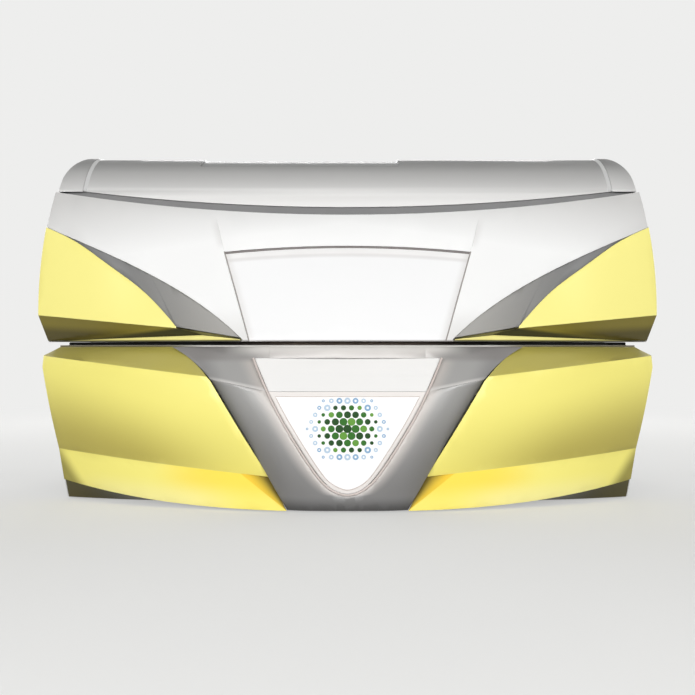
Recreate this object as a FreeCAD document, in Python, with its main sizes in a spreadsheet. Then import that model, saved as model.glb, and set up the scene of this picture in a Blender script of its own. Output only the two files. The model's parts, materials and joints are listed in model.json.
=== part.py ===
import FreeCAD, Part
import math
import os

import Sketcher

# Clamshell tanning bed.  Millimetres, +Z up, the user gets in from the front (-Y), the lamps run along X.
# The origin lies on the floor, under the middle of the closed bed.

doc = FreeCAD.newDocument("TanningBed")
sheet = doc.addObject("Spreadsheet::Sheet", "Sizes")
Vector = FreeCAD.Vector

driving_sizes = {
    # overall envelope
    "half_length": 1100,        # middle to the widest point of the canopy
    "front_reach": 570,         # origin to the foremost point of the base
    "nose_depth": 310,          # how far the front falls back from the middle to the ends
    "base_top": 540,            # upper face of the base rim
    "canopy_gap": 12,           # daylight between the base rim and the closed canopy
    "skin": 4,                  # wall of the moulded covers
    "seam": 0.8,                # joint between neighbouring covers
    "seat_gap": 0.3,            # clearance of a piece on what carries it
    "floor_gap": 5,             # covers end this far above the floor
    # tanning tunnel
    "tunnel_y": 100,            # middle of the tunnel, behind the origin
    "glass": 6,                 # acrylic sheets
    "bench_half_width": 340,
    "bench_edge_z": 505,
    "bench_sag": 90,
    "bench_lip": 14,            # width of the flange under the long edges of the bench sheet
    "arch_radius": 330,         # inner radius of the canopy sheet
    "arch_z": 560,
    "arch_edge_angle": 14,      # the canopy sheet starts this many degrees above level
    "end_arch_radius": 250,     # opening in the ends of the canopy
    # lamps
    "lamp_radius": 19,
    "lamp_wall": 1,
    "lamp_half_length": 872,
    "lamp_clearance": 12,       # lamp glass to acrylic
    "lamp_pitch": 54,
    "bench_lamp_count": 13,
    "canopy_lamp_count": 15,
    "short_lamp_count": 5,      # lamps over the face, which stop at the facial unit
    "cap_length": 26,
    "cap_radius": 20,
    "socket_length": 22,
    "socket_radius": 22,
    "plate_wall": 4,
    "reflector_gap": 9,
    "reflector_wall": 1.5,
    "reflector_end_angle": 26,  # the canopy reflector starts this many degrees above level
    # base front
    "rim_wall": 6,
    "rim_front": 490,           # foremost point of the rim
    "rim_sweep": 300,           # the rim falls back by this towards its corners
    "rim_half": 1036,
    "shoulder_half": 1077,
    "shoulder_z": 463,
    "corner_half": 1072,
    "corner_z": 505,
    "foot_half": 989,
    "crease_end_z": 503,        # upper crease of the coloured panel, at the end and at the surround
    "crease_inner_z": 438.6,
    "crease_inner_x": 483,
    "crease_setback": 8,
    "belly_setback": 50,
    "belly_end_z": 180,
    "belly_inner_z": 115.5,
    "belly_inner_x": 353,
    "belly_swell": 14,          # the big face swells by this between its creases
    "blade_tip_x": 196,
    "blade_mid_x": 651,
    "blade_mid_z": 21,
    "blade_end_z": 65,
    "blade_setback": 52,
    "skirt_end_setback": 9.5,   # floor line of the skirt behind the blade's edge, at its two ends
    "skirt_inner_setback": 91,
    "skirt_inner_x": 640,
    # silver surround and its insert
    "surround_top_x": 605,
    "surround_arc_x": 500,
    "surround_arc_z": 474,
    "surround_knee_x": 449,
    "surround_knee_z": 422,
    "surround_edge_y": 500,     # depth of the surround at its outer edge, in its middle and at the bead
    "surround_swell_y": 545,
    "surround_nose_y": 563,
    "bead_radius": 4,
    "insert_top_half": 310,
    "insert_top_z": 497,
    "insert_fold_z": 388,
    "insert_low_z": 56,
    "insert_top_y": 490,
    "insert_fold_y": 536,
    "insert_low_y": 555,
    # canopy front
    "visor_wall": 5,
    "visor_top_z": 997,
    "visor_top_rise": 92.5,
    "visor_top_front": 295,
    "visor_top_sweep": 83,
    "visor_lip_setback": 20,
    "shoulder_inset": 54,       # from the widest point to the top corner of the visor
    "canopy_shoulder_z": 1090,
    "bulge_inset": 10,
    "bulge_z": 862,
    "fin_crease_z": 648,
    "lower_inset": 31,
    "door_top_half": 424,       # insert panel of the visor
    "door_top_z": 861,
    "door_crown": 20,
    "door_low_half": 320,
    "door_recess": 2,
    "leg_half": 348,            # the white front ends here at the lip
    "peak_inset": 19,           # upper end of the coloured fin, in from the widest point
    "fin_tip_x": 585,
    "fin_tip_y": 380,
    "fin_tip_z": 598,
    "fin_peak_z": 963.5,
    "fin_peak_y": 225,
    "fin_end_y": 240,
    "lip_end_y": 225,
    "lip_tip_y": 522,
    "lip_mid_y": 400,
    "lip_rise": 14,             # height of the bright lip in its middle
    "lip_depth": 60,            # how far the lip runs back in its middle
    # roof
    "roof_radius": 364,
    "roof_axis_z": 893,
    "roof_wall": 4,
    "roof_edge_z": 1032,
    "roof_edge_rise": 61,
    "roof_inset": 96,           # the four insets count from the canopy's shoulder
    "cap_rise": 5,
    "cap_foot_inset": 10,
    "cap_shoulder_inset": 13,
    "cap_shoulder_rise": 55,
    "cap_bend_inset": 32,
    "cap_bend_rise": 118,
    "cap_top_inset": 71,
    "vent_middle_x": -178,
    "vent_half": 356,
    "vent_drop": 15,
    "field_drop": 6,            # the sunk field round the roof's grille
    "field_turn": 31,           # its half width, in degrees about the roof's axis
    "vent_half_width": 74,
    "slot_pitch": 24,
    "slot_width": 8,
    # frame, feet and hinge
    "tube": 40,
    "tube_wall": 3,
    "frame_z": 34,              # underside of the sills
    "frame_front": 170,
    "frame_rear": 540,
    "rear_gap": 24,             # back of the frame to the outer face of the back cover
    "frame_half": 964,
    "rib_x": 300,
    "rib_front": 440,
    "pan_wall": 2,
    "canopy_tube": 30,
    "top_tube_offset": 150,
    "top_tube_z": 940,
    "rear_tube_z": 640,
    "bulkhead_edge_y": 225,
    "post_x": 850,
    "hinge_setback": 15,        # hinge axis to the back of the frame
    "hinge_z": 600,
    "pin_radius": 10,
    "pin_head": 14,
    "boss_radius": 24,
    "pin_play": 0.05,
    "arm_wall": 12,
    "ear_wall": 8,
    "ear_play": 0.6,
    "foot_radius": 28,
    "foot_height": 12,
    "stud_radius": 8,
    "nut_radius": 13,
    # gas struts
    "strut_x": 985,
    "strut_low_y": 466,
    "strut_low_z": 327,
    "strut_high_y": 389,
    "strut_high_z": 592,
    "strut_radius": 13,
    "strut_bore": 9,
    "strut_body_length": 185,
    "rod_radius": 5,
    "rod_play": 0.05,
    "piston_length": 12,
    "piston_reach": 235,        # upper pivot to the inner end of the piston
    "eye_radius": 14,
    "eye_pin_radius": 6,
    "eye_wall": 12,
    "cup_play": 0.5,            # side clearance of the upper ball cup
    # fans and electrics
    "fan_radius": 120,
    "fan_depth": 60,
    "fan_flange_width": 260,
    "fan_flange_depth": 366,
    "fan_base_x": 420,
    "fan_base_y": 150,
    "fan_hub": 38,
    "fan_shaft": 6,
    "motor_radius": 32,
    "blade_count": 7,
    "blade_wall": 2.5,
    "ballast_length": 230,
    "ballast_width": 70,
    "ballast_height": 55,
    "ballast_pitch": 90,
    "ballast_inner_x": 120,
    "ballast_outer_x": 760,
    "power_box_length": 300,
    "power_box_width": 140,
    "power_box_height": 120,
    "inlet_x": -700,
    "inlet_z": 90,
    "inlet_radius": 11,
    "louvre_setout": 600,
    "louvre_count": 7,
    "louvre_length": 200,
    "louvre_height": 9,
    "louvre_pitch": 22,
    "louvre_low_z": 300,
    "screw_radius": 2.5,
    "screw_head": 5,
    "screw_rise": 3,
    "screw_length": 12,
    # facial unit and controls
    "facial_left": 432,
    "facial_right": 800,
    "facial_half_width": 130,
    "facial_low_z": 908,
    "facial_wall": 2,
    "burner_radius": 10,
    "burner_count": 4,
    "panel_x": 330,
    "panel_length": 300,
    "panel_height": 56,
    "panel_low_z": 572,
    "panel_wall": 10,
    "button_pitch": 60,
    "button_radius": 11,
    "button_proud": 3,
    "button_depth": 7.5,
    "button_travel": 1.5,
    "button_play": 0.4,
}

for row, (alias, value) in enumerate(driving_sizes.items(), start=1):
    sheet.set(f"A{row}", alias)
    sheet.set(f"B{row}", str(value))
    sheet.setAlias(f"B{row}", alias)
doc.recompute()


class SheetReader:
    """Reads a driving size from the spreadsheet by its alias."""

    def __getattr__(self, alias):
        return float(sheet.get(alias))


size = SheetReader()
nodes = {}
shoulder_x = size.half_length - size.shoulder_inset
roof_half = shoulder_x - size.roof_inset
rear_face = size.frame_rear + size.rear_gap
hinge_y = size.frame_rear - size.hinge_setback


# ---------------------------------------------------------------- helpers

def bind(item, prop, formula):
    """Ties a property to a formula; $word stands for a cell of the sheet."""
    item.setExpression(prop, formula.replace("$", "Sizes."))


def place(item, x="0", y="0", z="0"):
    for axis, formula in zip("xyz", (x, y, z)):
        bind(item, f".Placement.Base.{axis}", formula)


def keep(label, item):
    """Marks an object of the document as a node that is written out."""
    item.Label = label
    nodes[label] = item
    return item


def keep_shape(label, shape):
    """A node whose shape is worked out here, from the sheet's sizes."""
    item = doc.addObject("Part::Feature", label)
    item.Shape = shape
    return keep(label, item)


def block(name, length, width, height, x, y, z):
    """A box whose corner is at x, y, z; all six are formulas."""
    item = doc.addObject("Part::Box", name)
    bind(item, "Length", length)
    bind(item, "Width", width)
    bind(item, "Height", height)
    place(item, x, y, z)
    return item


def rod_along(name, axis, radius, length, x, y, z):
    """A cylinder that starts at x, y, z and runs along the given axis."""
    item = doc.addObject("Part::Cylinder", name)
    bind(item, "Radius", radius)
    bind(item, "Height", length)
    turns = {"X": (Vector(0, 1, 0), 90), "Y": (Vector(1, 0, 0), -90), "Z": (Vector(0, 0, 1), 0)}
    item.Placement = FreeCAD.Placement(Vector(), FreeCAD.Rotation(*turns[axis]))
    place(item, x, y, z)
    return item


def joined(name, items, kind="Part::MultiFuse"):
    item = doc.addObject(kind, name)
    if kind == "Part::Compound":
        item.Links = items
    else:
        item.Shapes = items
    return item


def cut(name, base, tool):
    item = doc.addObject("Part::Cut", name)
    item.Base, item.Tool = base, tool
    return item


def origin_plane(body, role):
    return next(f for f in body.Origin.OriginFeatures if f.Role == role)


def new_body(name):
    return doc.addObject("PartDesign::Body", name)


def sketch_on(body, name, role):
    sketch = body.newObject("Sketcher::SketchObject", name)
    sketch.AttachmentSupport = [(origin_plane(body, role), "")]
    sketch.MapMode = "FlatFace"
    return sketch


def polygon(sketch, corners):
    """A closed outline in a sketch: each corner is a pair of formulas, measured from the sketch's origin."""
    count = len(corners)
    first = len(sketch.Geometry)
    start = [Vector(50 * math.cos(2 * math.pi * i / count), 50 * math.sin(2 * math.pi * i / count), 0)
             for i in range(count)]
    for i in range(count):
        sketch.addGeometry(Part.LineSegment(start[i], start[(i + 1) % count]), False)
    for i in range(count):
        after = first + (i + 1) % count
        sketch.addConstraint(Sketcher.Constraint("Coincident", first + i, 2, after, 1))
    for i, pair in enumerate(corners):
        for kind, formula, value in zip(("DistanceX", "DistanceY"), pair, (start[i].x, start[i].y)):
            row = sketch.addConstraint(Sketcher.Constraint(kind, -1, 1, first + i, 1, value))
            bind(sketch, f"Constraints[{row}]", formula)


def circle(sketch, u, v, radius):
    """A circle in a sketch, its centre and radius given as formulas."""
    row = sketch.addGeometry(Part.Circle(Vector(20, 20, 0), Vector(0, 0, 1), 5), False)
    tie = sketch.addConstraint(Sketcher.Constraint("Radius", row, 5))
    bind(sketch, f"Constraints[{tie}]", radius)
    for kind, formula in (("DistanceX", u), ("DistanceY", v)):
        tie = sketch.addConstraint(Sketcher.Constraint(kind, -1, 1, row, 3, 20))
        bind(sketch, f"Constraints[{tie}]", formula)


def pad(body, sketch, length, middle=False, reverse=False):
    feature = body.newObject("PartDesign::Pad", sketch.Name + "_pad")
    feature.Profile = sketch
    bind(feature, "Length", length)
    feature.Midplane = middle
    feature.Reversed = reverse
    return feature


def pocket_through(body, sketch):
    feature = body.newObject("PartDesign::Pocket", sketch.Name + "_pocket")
    feature.Profile = sketch
    feature.Type = "ThroughAll"
    feature.Midplane = True
    return feature


def turned(name, corners, role="XZ_Plane"):
    """A body turned about Z from a half outline of (radius, height) corners."""
    body = new_body(name)
    sketch = sketch_on(body, name + "_outline", role)
    polygon(sketch, corners)
    turn = body.newObject("PartDesign::Revolution", name + "_turn")
    turn.Profile = sketch
    turn.ReferenceAxis = (sketch, ["V_Axis"])
    turn.Angle = 360
    return body


def copies(master, spots, turn=None):
    """Copies of a body's shape at several places, as one group of separate solids."""
    shapes = []
    for spot in spots:
        shape = master.Shape.copy()
        shape.Placement = FreeCAD.Placement(spot, turn or FreeCAD.Rotation())
        shapes.append(shape)
    return Part.makeCompound(shapes)


def smooth(points):
    """A smooth edge through the points."""
    spline = Part.BSplineCurve()
    spline.interpolate(points)
    return spline.toShape()


def both_sides(points):
    """Points from the right-hand end to the middle, continued to the left-hand end."""
    return points + [Vector(-p.x, p.y, p.z) for p in reversed(points[:-1])]


def mirrored(shape):
    return shape.mirror(Vector(0, 0, 0), Vector(1, 0, 0))


def one_solid(shape):
    """A tidy solid from a boolean's result, with its split faces merged."""
    shape = shape.removeSplitter()
    if len(shape.Solids) == 1:
        return shape.Solids[0]
    largest = max(shape.Solids, key=lambda s: s.Volume)
    return largest


def facet(rail_a, rail_b, push):
    """A wall between two rails that run the same way."""
    return Part.makeRuledSurface(rail_a, rail_b, 1).extrude(push)


def curtain(edges, front=-900.0, rear=900.0):
    """A prism along Y over an outline that is drawn in the XZ plane."""
    wire = Part.Wire(Part.sortEdges(edges)[0])
    face = Part.Face(wire)
    face.translate(Vector(0, front, 0))
    return face.extrude(Vector(0, rear - front, 0))


def strip(edges, left=-1500.0, right=1500.0):
    """A prism along X over an outline that is drawn in the YZ plane."""
    wire = Part.Wire(Part.sortEdges(edges)[0])
    face = Part.Face(wire)
    face.translate(Vector(left, 0, 0))
    return face.extrude(Vector(right - left, 0, 0))


def run(points):
    """Straight edges through the points."""
    return [Part.makeLine(a, b) for a, b in zip(points, points[1:])]


def ring(points):
    return run(points + points[:1])


def arc(a, b, c):
    return Part.Arc(a, b, c).toShape()


def flat(x, z):
    return Vector(x, 0, z)


def side(y, z):
    return Vector(0, y, z)


# ---------------------------------------------------------------- shared outlines and places

lip_z = size.base_top + size.canopy_gap
under_rim = size.base_top - size.rim_wall - size.seat_gap
inward = Vector(0, size.skin, 0)
seat = size.seat_gap

bench_radius = (size.bench_half_width ** 2 + size.bench_sag ** 2) / (2 * size.bench_sag)
bench_axis_z = size.bench_edge_z - size.bench_sag + bench_radius
bench_lamp_arc = bench_radius + size.glass + size.lamp_clearance + size.lamp_radius
arch_lamp_arc = size.arch_radius + size.glass + size.lamp_clearance + size.lamp_radius
lamp_end = size.lamp_half_length + size.cap_length
socket_x = lamp_end + seat
plate_x = socket_x + size.socket_length
short_lamp_end = size.facial_left - size.socket_length - 2 * seat


def nose(x):
    """The foremost line of the bed, seen from above."""
    return -size.front_reach + size.nose_depth * (x / size.half_length) ** 2


def rim_line(x):
    return -size.rim_front + size.rim_sweep * (x / size.rim_half) ** 2


def base_outline(inset=0.0, low=None, high=None):
    """The front view of the base, as a closed outline that is inset by the given wall."""
    low = size.floor_gap if low is None else low
    high = size.base_top if high is None else high
    slope = (size.shoulder_half - size.foot_half) / size.shoulder_z
    foot = flat(size.foot_half + slope * low - inset, low)
    shoulder = flat(size.shoulder_half - inset, size.shoulder_z)
    corner = flat(size.corner_half - inset, size.corner_z)
    top = flat(size.rim_half - inset, high)
    right = [Part.makeLine(foot, shoulder), Part.makeLine(shoulder, corner), Part.makeLine(corner, top)]
    left = [mirrored(edge) for edge in right]
    return right + left + [Part.makeLine(flat(-top.x, high), top), Part.makeLine(flat(-foot.x, low), foot)]


def canopy_outline(inset=0.0, low=None, high=None):
    """The front view of the canopy below its roof caps; above its shoulder it runs straight up."""
    low = lip_z if low is None else low
    high = size.canopy_shoulder_z if high is None else high
    crease = flat(size.half_length - 1 - inset, size.fin_crease_z)
    slope = (size.lower_inset - 1) / (size.fin_crease_z - lip_z)
    foot = flat(crease.x - slope * (size.fin_crease_z - low), low)
    bulge = flat(size.half_length - size.bulge_inset - inset, size.bulge_z)
    shoulder = flat(shoulder_x - inset, size.canopy_shoulder_z)
    right = [Part.makeLine(foot, crease), arc(crease, bulge, shoulder)]
    top = flat(shoulder.x, high)
    if high > size.canopy_shoulder_z:
        right.append(Part.makeLine(shoulder, top))
    left = [mirrored(edge) for edge in right]
    return right + left + [Part.makeLine(flat(-top.x, high), top), Part.makeLine(flat(-foot.x, low), foot)]


def visor_top(x):
    share = (x / (shoulder_x)) ** 2
    y = -size.visor_top_front + size.visor_top_sweep * share
    return Vector(x, y, size.visor_top_z + size.visor_top_rise * share)


def visor_lip(x):
    return Vector(x, nose(x) + size.visor_lip_setback, lip_z)


def visor_at(x, z, back=0.0):
    """A point on the visor, or behind it."""
    top, low = visor_top(x), visor_lip(x)
    share = (top.z - z) / (top.z - low.z)
    return Vector(x, top.y + share * (low.y - top.y) + back, z)


def roof_edge_z(x):
    return size.roof_edge_z + size.roof_edge_rise * (x / roof_half) ** 2


def roof_front(z, radius):
    """Y of the front of the roof's arc at a height."""
    return size.tunnel_y - math.sqrt(radius ** 2 - (z - size.roof_axis_z) ** 2)


def on_arc(radius, angle, axis_z):
    """A point of the YZ plane on a circle over the tunnel's middle, by its angle from +Y towards +Z."""
    turn = math.radians(angle)
    return side(size.tunnel_y + radius * math.cos(turn), axis_z + radius * math.sin(turn))


def arc_band(inner, outer, start, end, axis_z):
    """The edges of a ring's sector in the YZ plane."""
    near = [on_arc(inner, angle, axis_z) for angle in (start, (start + end) / 2, end)]
    far = [on_arc(outer, angle, axis_z) for angle in (start, (start + end) / 2, end)]
    return [arc(*near), arc(*far), Part.makeLine(near[0], far[0]), Part.makeLine(near[2], far[2])]


def rail(function, start, end, count=5):
    step = (end - start) / (count - 1)
    return smooth([function(start + i * step) for i in range(count)])


def tube_along_x(radius, left, right, y, z):
    return Part.makeCylinder(radius, right - left, Vector(left, y, z), Vector(1, 0, 0))


# ---------------------------------------------------------------- base covers

surround_slope = (size.surround_knee_x - size.blade_tip_x) / (size.surround_knee_z - size.floor_gap)


def surround_edges(grow=0.0):
    """The silver surround's outer boundary, seen from the front: it reaches past the base above and below."""
    over = 60.0
    foot = flat(size.blade_tip_x - surround_slope * (size.floor_gap + over) + grow, -over)
    knee = flat(size.surround_knee_x + grow, size.surround_knee_z)
    middle = flat(size.surround_arc_x + grow, size.surround_arc_z)
    top = flat(size.surround_top_x + grow, size.base_top)
    above = flat(size.surround_top_x + grow, size.base_top + over)
    right = [Part.makeLine(foot, knee), arc(knee, middle, top), Part.makeLine(top, above)]
    left = [mirrored(edge) for edge in right]
    return right + left + [Part.makeLine(flat(-foot.x, -over), foot),
                           Part.makeLine(flat(-above.x, above.z), above)]


def bead_points(inset=0.0):
    """The line of the bead round the insert, from its right top corner to the bottom."""
    low = size.insert_low_z
    height = size.insert_top_z - low
    shares = ((1.0, 1.0), (0.945, 0.9085), (0.855, 0.7735), (0.746, 0.617), (0.571, 0.4045),
              (0.36, 0.1785), (0.205, 0.056))
    line = [flat(size.insert_top_half * u, low + height * v) for u, v in shares] + [flat(0, low)]
    moved = []
    for i, point in enumerate(line):
        before = line[i - 1] if i else point * 2 - line[1]
        after = line[i + 1] if i + 1 < len(line) else flat(-line[-2].x, line[-2].z)
        along = (after - before).normalize()
        moved.append(point + flat(along.z, -along.x) * inset)
    return [flat(moved[0].x, size.insert_top_z)] + moved[1:]


def bead_depth(z):
    """How far in front of the origin the bead lies at a height."""
    if z >= size.insert_fold_z:
        share = (z - size.insert_fold_z) / (size.insert_top_z - size.insert_fold_z)
        return (size.surround_nose_y - 22) - share * (size.surround_nose_y - 22 - size.insert_top_y - 8)
    share = (size.insert_fold_z - z) / (size.insert_fold_z - size.insert_low_z)
    return size.surround_nose_y - 22 * (1 - share) ** 2


def insert_edges(inset=0.0):
    """The insert's outline: the bead's line, closed by a straight top."""
    points = bead_points(inset)
    top = flat(points[0].x, size.insert_top_z)
    edges = [smooth([Vector(-p.x, 0, p.z) for p in points[:-1]] + list(reversed(points)))]
    return edges + [Part.makeLine(flat(-top.x, top.z), top)]


def crease_rail(x):
    """Upper crease of the coloured panels."""
    share = (abs(x) - size.crease_inner_x) / (size.corner_half - size.crease_inner_x)
    z = size.crease_inner_z + (size.crease_end_z - size.crease_inner_z) * share
    return Vector(x, nose(x) + size.crease_setback, z)


def belly_rail(x):
    """Lower crease of the coloured panels."""
    share = (abs(x) - size.belly_inner_x) / (size.corner_half - size.belly_inner_x)
    z = size.belly_inner_z + (size.belly_end_z - size.belly_inner_z) * share
    return Vector(x, nose(x) + size.belly_setback, z)


def blade_rail(x):
    """Lower edge of the bright blade, which lifts off the floor towards the ends."""
    share = (abs(x) - size.blade_tip_x) / (size.foot_half - size.blade_tip_x)
    middle = (size.blade_mid_x - size.blade_tip_x) / (size.foot_half - size.blade_tip_x)
    rise = (size.blade_mid_z - size.floor_gap) / (size.blade_end_z - size.floor_gap)
    z = size.floor_gap + (size.blade_end_z - size.floor_gap) * max(share,
                                                                   0.0) ** (math.log(rise) / math.log(middle))
    return Vector(x, nose(x) + size.blade_setback * share, z)


end_gap = 1.2                           # between the ends of the front covers and the side covers
past_end = size.half_length + 20        # skins run past the silhouette and are then trimmed to it
face_inner_x = 230.0                    # and past the surround's boundary


def swell_rail(x):
    return (crease_rail(x) + belly_rail(x)) * 0.5 - Vector(0, size.belly_swell, 0)


def side_panel():
    """The right-hand coloured panel: top facet, swelling face, blade and the fold beside the surround."""
    top = rail(lambda x: Vector(x, rim_line(x), under_rim), past_end, 300)
    crease = rail(crease_rail, past_end, 300)
    rails = [rail(line, past_end, face_inner_x) for line in (crease_rail, swell_rail, belly_rail)]
    face = Part.makeLoft([Part.Wire(edge) for edge in rails], False, False).Faces[0]
    belly = rail(belly_rail, past_end, size.belly_inner_x)
    blade = rail(blade_rail, past_end, size.blade_tip_x)
    corner, tip = belly_rail(size.belly_inner_x), blade_rail(size.blade_tip_x)
    fold = facet(Part.makeLine(corner, tip),
                 Part.makeLine(corner + Vector(-110, 14, 8), tip + Vector(-60, 34, 0)), inward)
    shape = facet(top, crease, inward).multiFuse([face.extrude(inward), facet(belly, blade, inward), fold])
    shape = shape.common(curtain(base_outline(high=under_rim + size.seat_gap)))
    return one_solid(shape.cut(curtain(surround_edges(size.seam))))


def side_skirt():
    """The facet under the right-hand blade, which runs back to the floor line."""
    inner = size.skirt_inner_x

    def floor_line(x):
        share = (x - inner) / (size.foot_half - inner)
        setback = size.skirt_inner_setback + (size.skirt_end_setback - size.skirt_inner_setback) * share
        return Vector(x, blade_rail(x).y + setback, size.floor_gap)

    upper = rail(blade_rail, past_end, inner).translated(Vector(0, size.skin + size.seam, 0))
    shape = facet(upper, rail(floor_line, past_end, inner), Vector(0, size.skin, size.skin))
    return one_solid(shape.common(curtain(base_outline(size.skin + size.seam))))


def surround():
    """The silver surround: it swells from the panels to the bead, and folds back to the rim above."""
    edge_y, swell_y, nose_y = size.surround_edge_y, size.surround_swell_y, size.surround_nose_y
    fold_z = size.insert_fold_z
    knee = flat(size.surround_knee_x, size.surround_knee_z)
    outer = [knee + flat(surround_slope * drop, drop) for drop in (40, -140, -275)]
    outer += [flat(size.blade_tip_x - 30, -60), flat(0, -160)]
    line = bead_points()
    inner = [flat(line[2].x + 8, fold_z + 40), line[3], line[4], line[5], line[7]]
    middle = [(a + b) * 0.5 for a, b in zip(outer, inner)]
    depths = ((edge_y - 16, edge_y, edge_y + 14, edge_y + 45, nose_y - 10),
              (swell_y - 18, swell_y - 6, swell_y + 6, nose_y - 3, nose_y - 1),
              tuple(bead_depth(p.z) - 1 for p in inner))
    rails = []
    for points, row in zip((outer, middle, inner), depths):
        placed = [Vector(p.x, -depth, p.z) for p, depth in zip(points, row)]
        rails.append(Part.Wire(smooth(both_sides(placed))))
    lower = Part.makeLoft(rails, False, False).Faces[0].extrude(inward)

    crease_out = flat(size.crease_inner_x + 26, size.crease_inner_z)
    crease_in = flat(line[2].x - 8, fold_z)
    out_y, in_y = -edge_y + 22, -bead_depth(fold_z) + 1
    above = size.base_top + 2
    crease = Part.makeLine(Vector(crease_out.x, out_y, crease_out.z), Vector(crease_in.x, in_y, crease_in.z))
    top = Part.makeLine(Vector(640, rim_line(560), above), Vector(crease_in.x, rim_line(240), above))
    wing = facet(crease, top, inward)

    def header_low(x):
        share = (size.insert_top_z - 30 - fold_z) / (above - fold_z)
        return Vector(x, in_y + share * (rim_line(240) - in_y) - 6 * (1 - (x / crease_in.x) ** 2),
                      size.insert_top_z - 30)

    header = facet(rail(header_low, -crease_in.x, crease_in.x),
                   rail(lambda x: Vector(x, rim_line(x), above), -crease_in.x, crease_in.x), inward)
    low_half = 720.0
    below = curtain(ring([flat(-low_half, -200), flat(low_half, -200), flat(low_half, crease_out.z + 24),
                          crease_out,
                          crease_in, flat(-crease_in.x, crease_in.z), flat(-crease_out.x, crease_out.z),
                          flat(-low_half, crease_out.z + 24)]))
    shape = lower.common(below).multiFuse([wing, mirrored(wing), header])
    shape = shape.cut(curtain(insert_edges(-size.bead_radius - 0.1)))
    window = curtain(ring([flat(-low_half, size.floor_gap), flat(low_half, size.floor_gap),
                           flat(low_half, under_rim), flat(-low_half, under_rim)]))
    return one_solid(shape.common(curtain(surround_edges())).common(window))


def insert_face(low_z, high_z, low_y, high_y):
    """A flat part of the insert between two heights, trimmed to the bead."""
    reach = size.insert_top_half + 20
    low = Part.makeLine(Vector(-reach, -low_y, low_z), Vector(reach, -low_y, low_z))
    high = Part.makeLine(Vector(-reach, -high_y, high_z), Vector(reach, -high_y, high_z))
    shape = facet(low, high, inward)
    return one_solid(shape.common(curtain(insert_edges(size.bead_radius + 0.1))))


def bead():
    """The round bead between the surround and the insert."""
    right = [Vector(p.x, -bead_depth(p.z), p.z) for p in bead_points()]
    path = Part.Wire(smooth(both_sides(right)))
    along = (right[1] - right[0]).normalize()
    section = Part.Wire(Part.makeCircle(size.bead_radius, right[0], along))
    pipe = path.makePipeShell([section], True, False)
    return pipe.Solids[0] if pipe.Solids else pipe


def rear_at(cover, z):
    """How far back a cover reaches at a height."""
    return cover.section(Part.makePlane(3000, 3000, Vector(-1500, -1500, z))).BoundBox.YMax


def end_front_points(panel):
    """The YZ line just behind the end of the coloured panel."""
    first = side(rim_line(size.rim_half) + size.skin + size.seam + 3.5, under_rim)
    low, high = size.blade_end_z + 5, size.corner_z - 6
    levels = [high + (low - high) * i / 11 for i in range(12)]
    return [first] + [side(rear_at(panel, z) + end_gap, z) for z in levels]


def base_end_panel():
    """The right-hand end of the base, a shell behind the front panel's edge."""
    shell = curtain(base_outline(high=under_rim)).cut(curtain(base_outline(size.skin, 0.0,
                                                                           size.base_top + 1)))
    panel = side_panel()
    front = end_front_points(panel)
    foot = side(front[-1].y, size.floor_gap)
    rear = rear_face
    profile = ring(front + [foot, side(rear, size.floor_gap), side(rear, under_rim)])
    return one_solid(shell.common(strip(profile, 0.0, 1500.0)).cut(panel.translated(Vector(0, 1,
                                                                                           0))).cut(panel))


def bench_profile(half, radius, top):
    """The area above an arc of the bench, up to a level top."""
    low = bench_axis_z - math.sqrt(radius ** 2 - half ** 2)
    left, right = side(size.tunnel_y - half, low), side(size.tunnel_y + half, low)
    corners = [left, side(left.y, top), side(right.y, top), right]
    return run(corners) + [arc(left, side(size.tunnel_y, bench_axis_z - radius), right)]


def top_rim():
    """The rim plate with the collar that holds the bench sheet, and holes for the hinge posts and struts."""
    low, rear = size.base_top - size.rim_wall, rear_face
    half = size.rim_half
    front = [Vector(x, rim_line(x), low) for x in (half, 0.75 * half, 0.5 * half, 0.25 * half, 0)]
    edge = smooth(both_sides(front))
    corners = [front[0], Vector(half, rear, low), Vector(-half, rear, low), Vector(-half, front[0].y, low)]
    plate = Part.Face(Part.Wire(Part.sortEdges([edge] + run(corners))[0])).extrude(Vector(0, 0,
                                                                                          size.rim_wall))
    wall = size.skin
    seat_arc = bench_radius + size.glass + seat
    inner_x, outer_x = lamp_end + seat, lamp_end + seat + wall
    block = strip(bench_profile(size.bench_half_width + wall, seat_arc + wall, size.base_top), -outer_x,
                  outer_x)
    hollow = strip(bench_profile(size.bench_half_width, seat_arc, size.base_top + 10), -inner_x, inner_x)
    window = strip(bench_profile(size.bench_half_width - size.bench_lip, seat_arc + 3 * wall,
                                 size.base_top + 10),
                   -inner_x, inner_x)
    rim = plate.fuse(block).cut(hollow).cut(window)
    for hand in (1, -1):
        post = Part.makeBox(40, 60, 60, Vector(hand * size.post_x - 20, size.frame_rear - 45, low - 30))
        strut = Part.makeBox(24, 72, 60, Vector(hand * size.strut_x - 12, size.strut_high_y - 4, low - 30))
        rim = rim.cut(post).cut(strut)
    return one_solid(rim)


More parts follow.
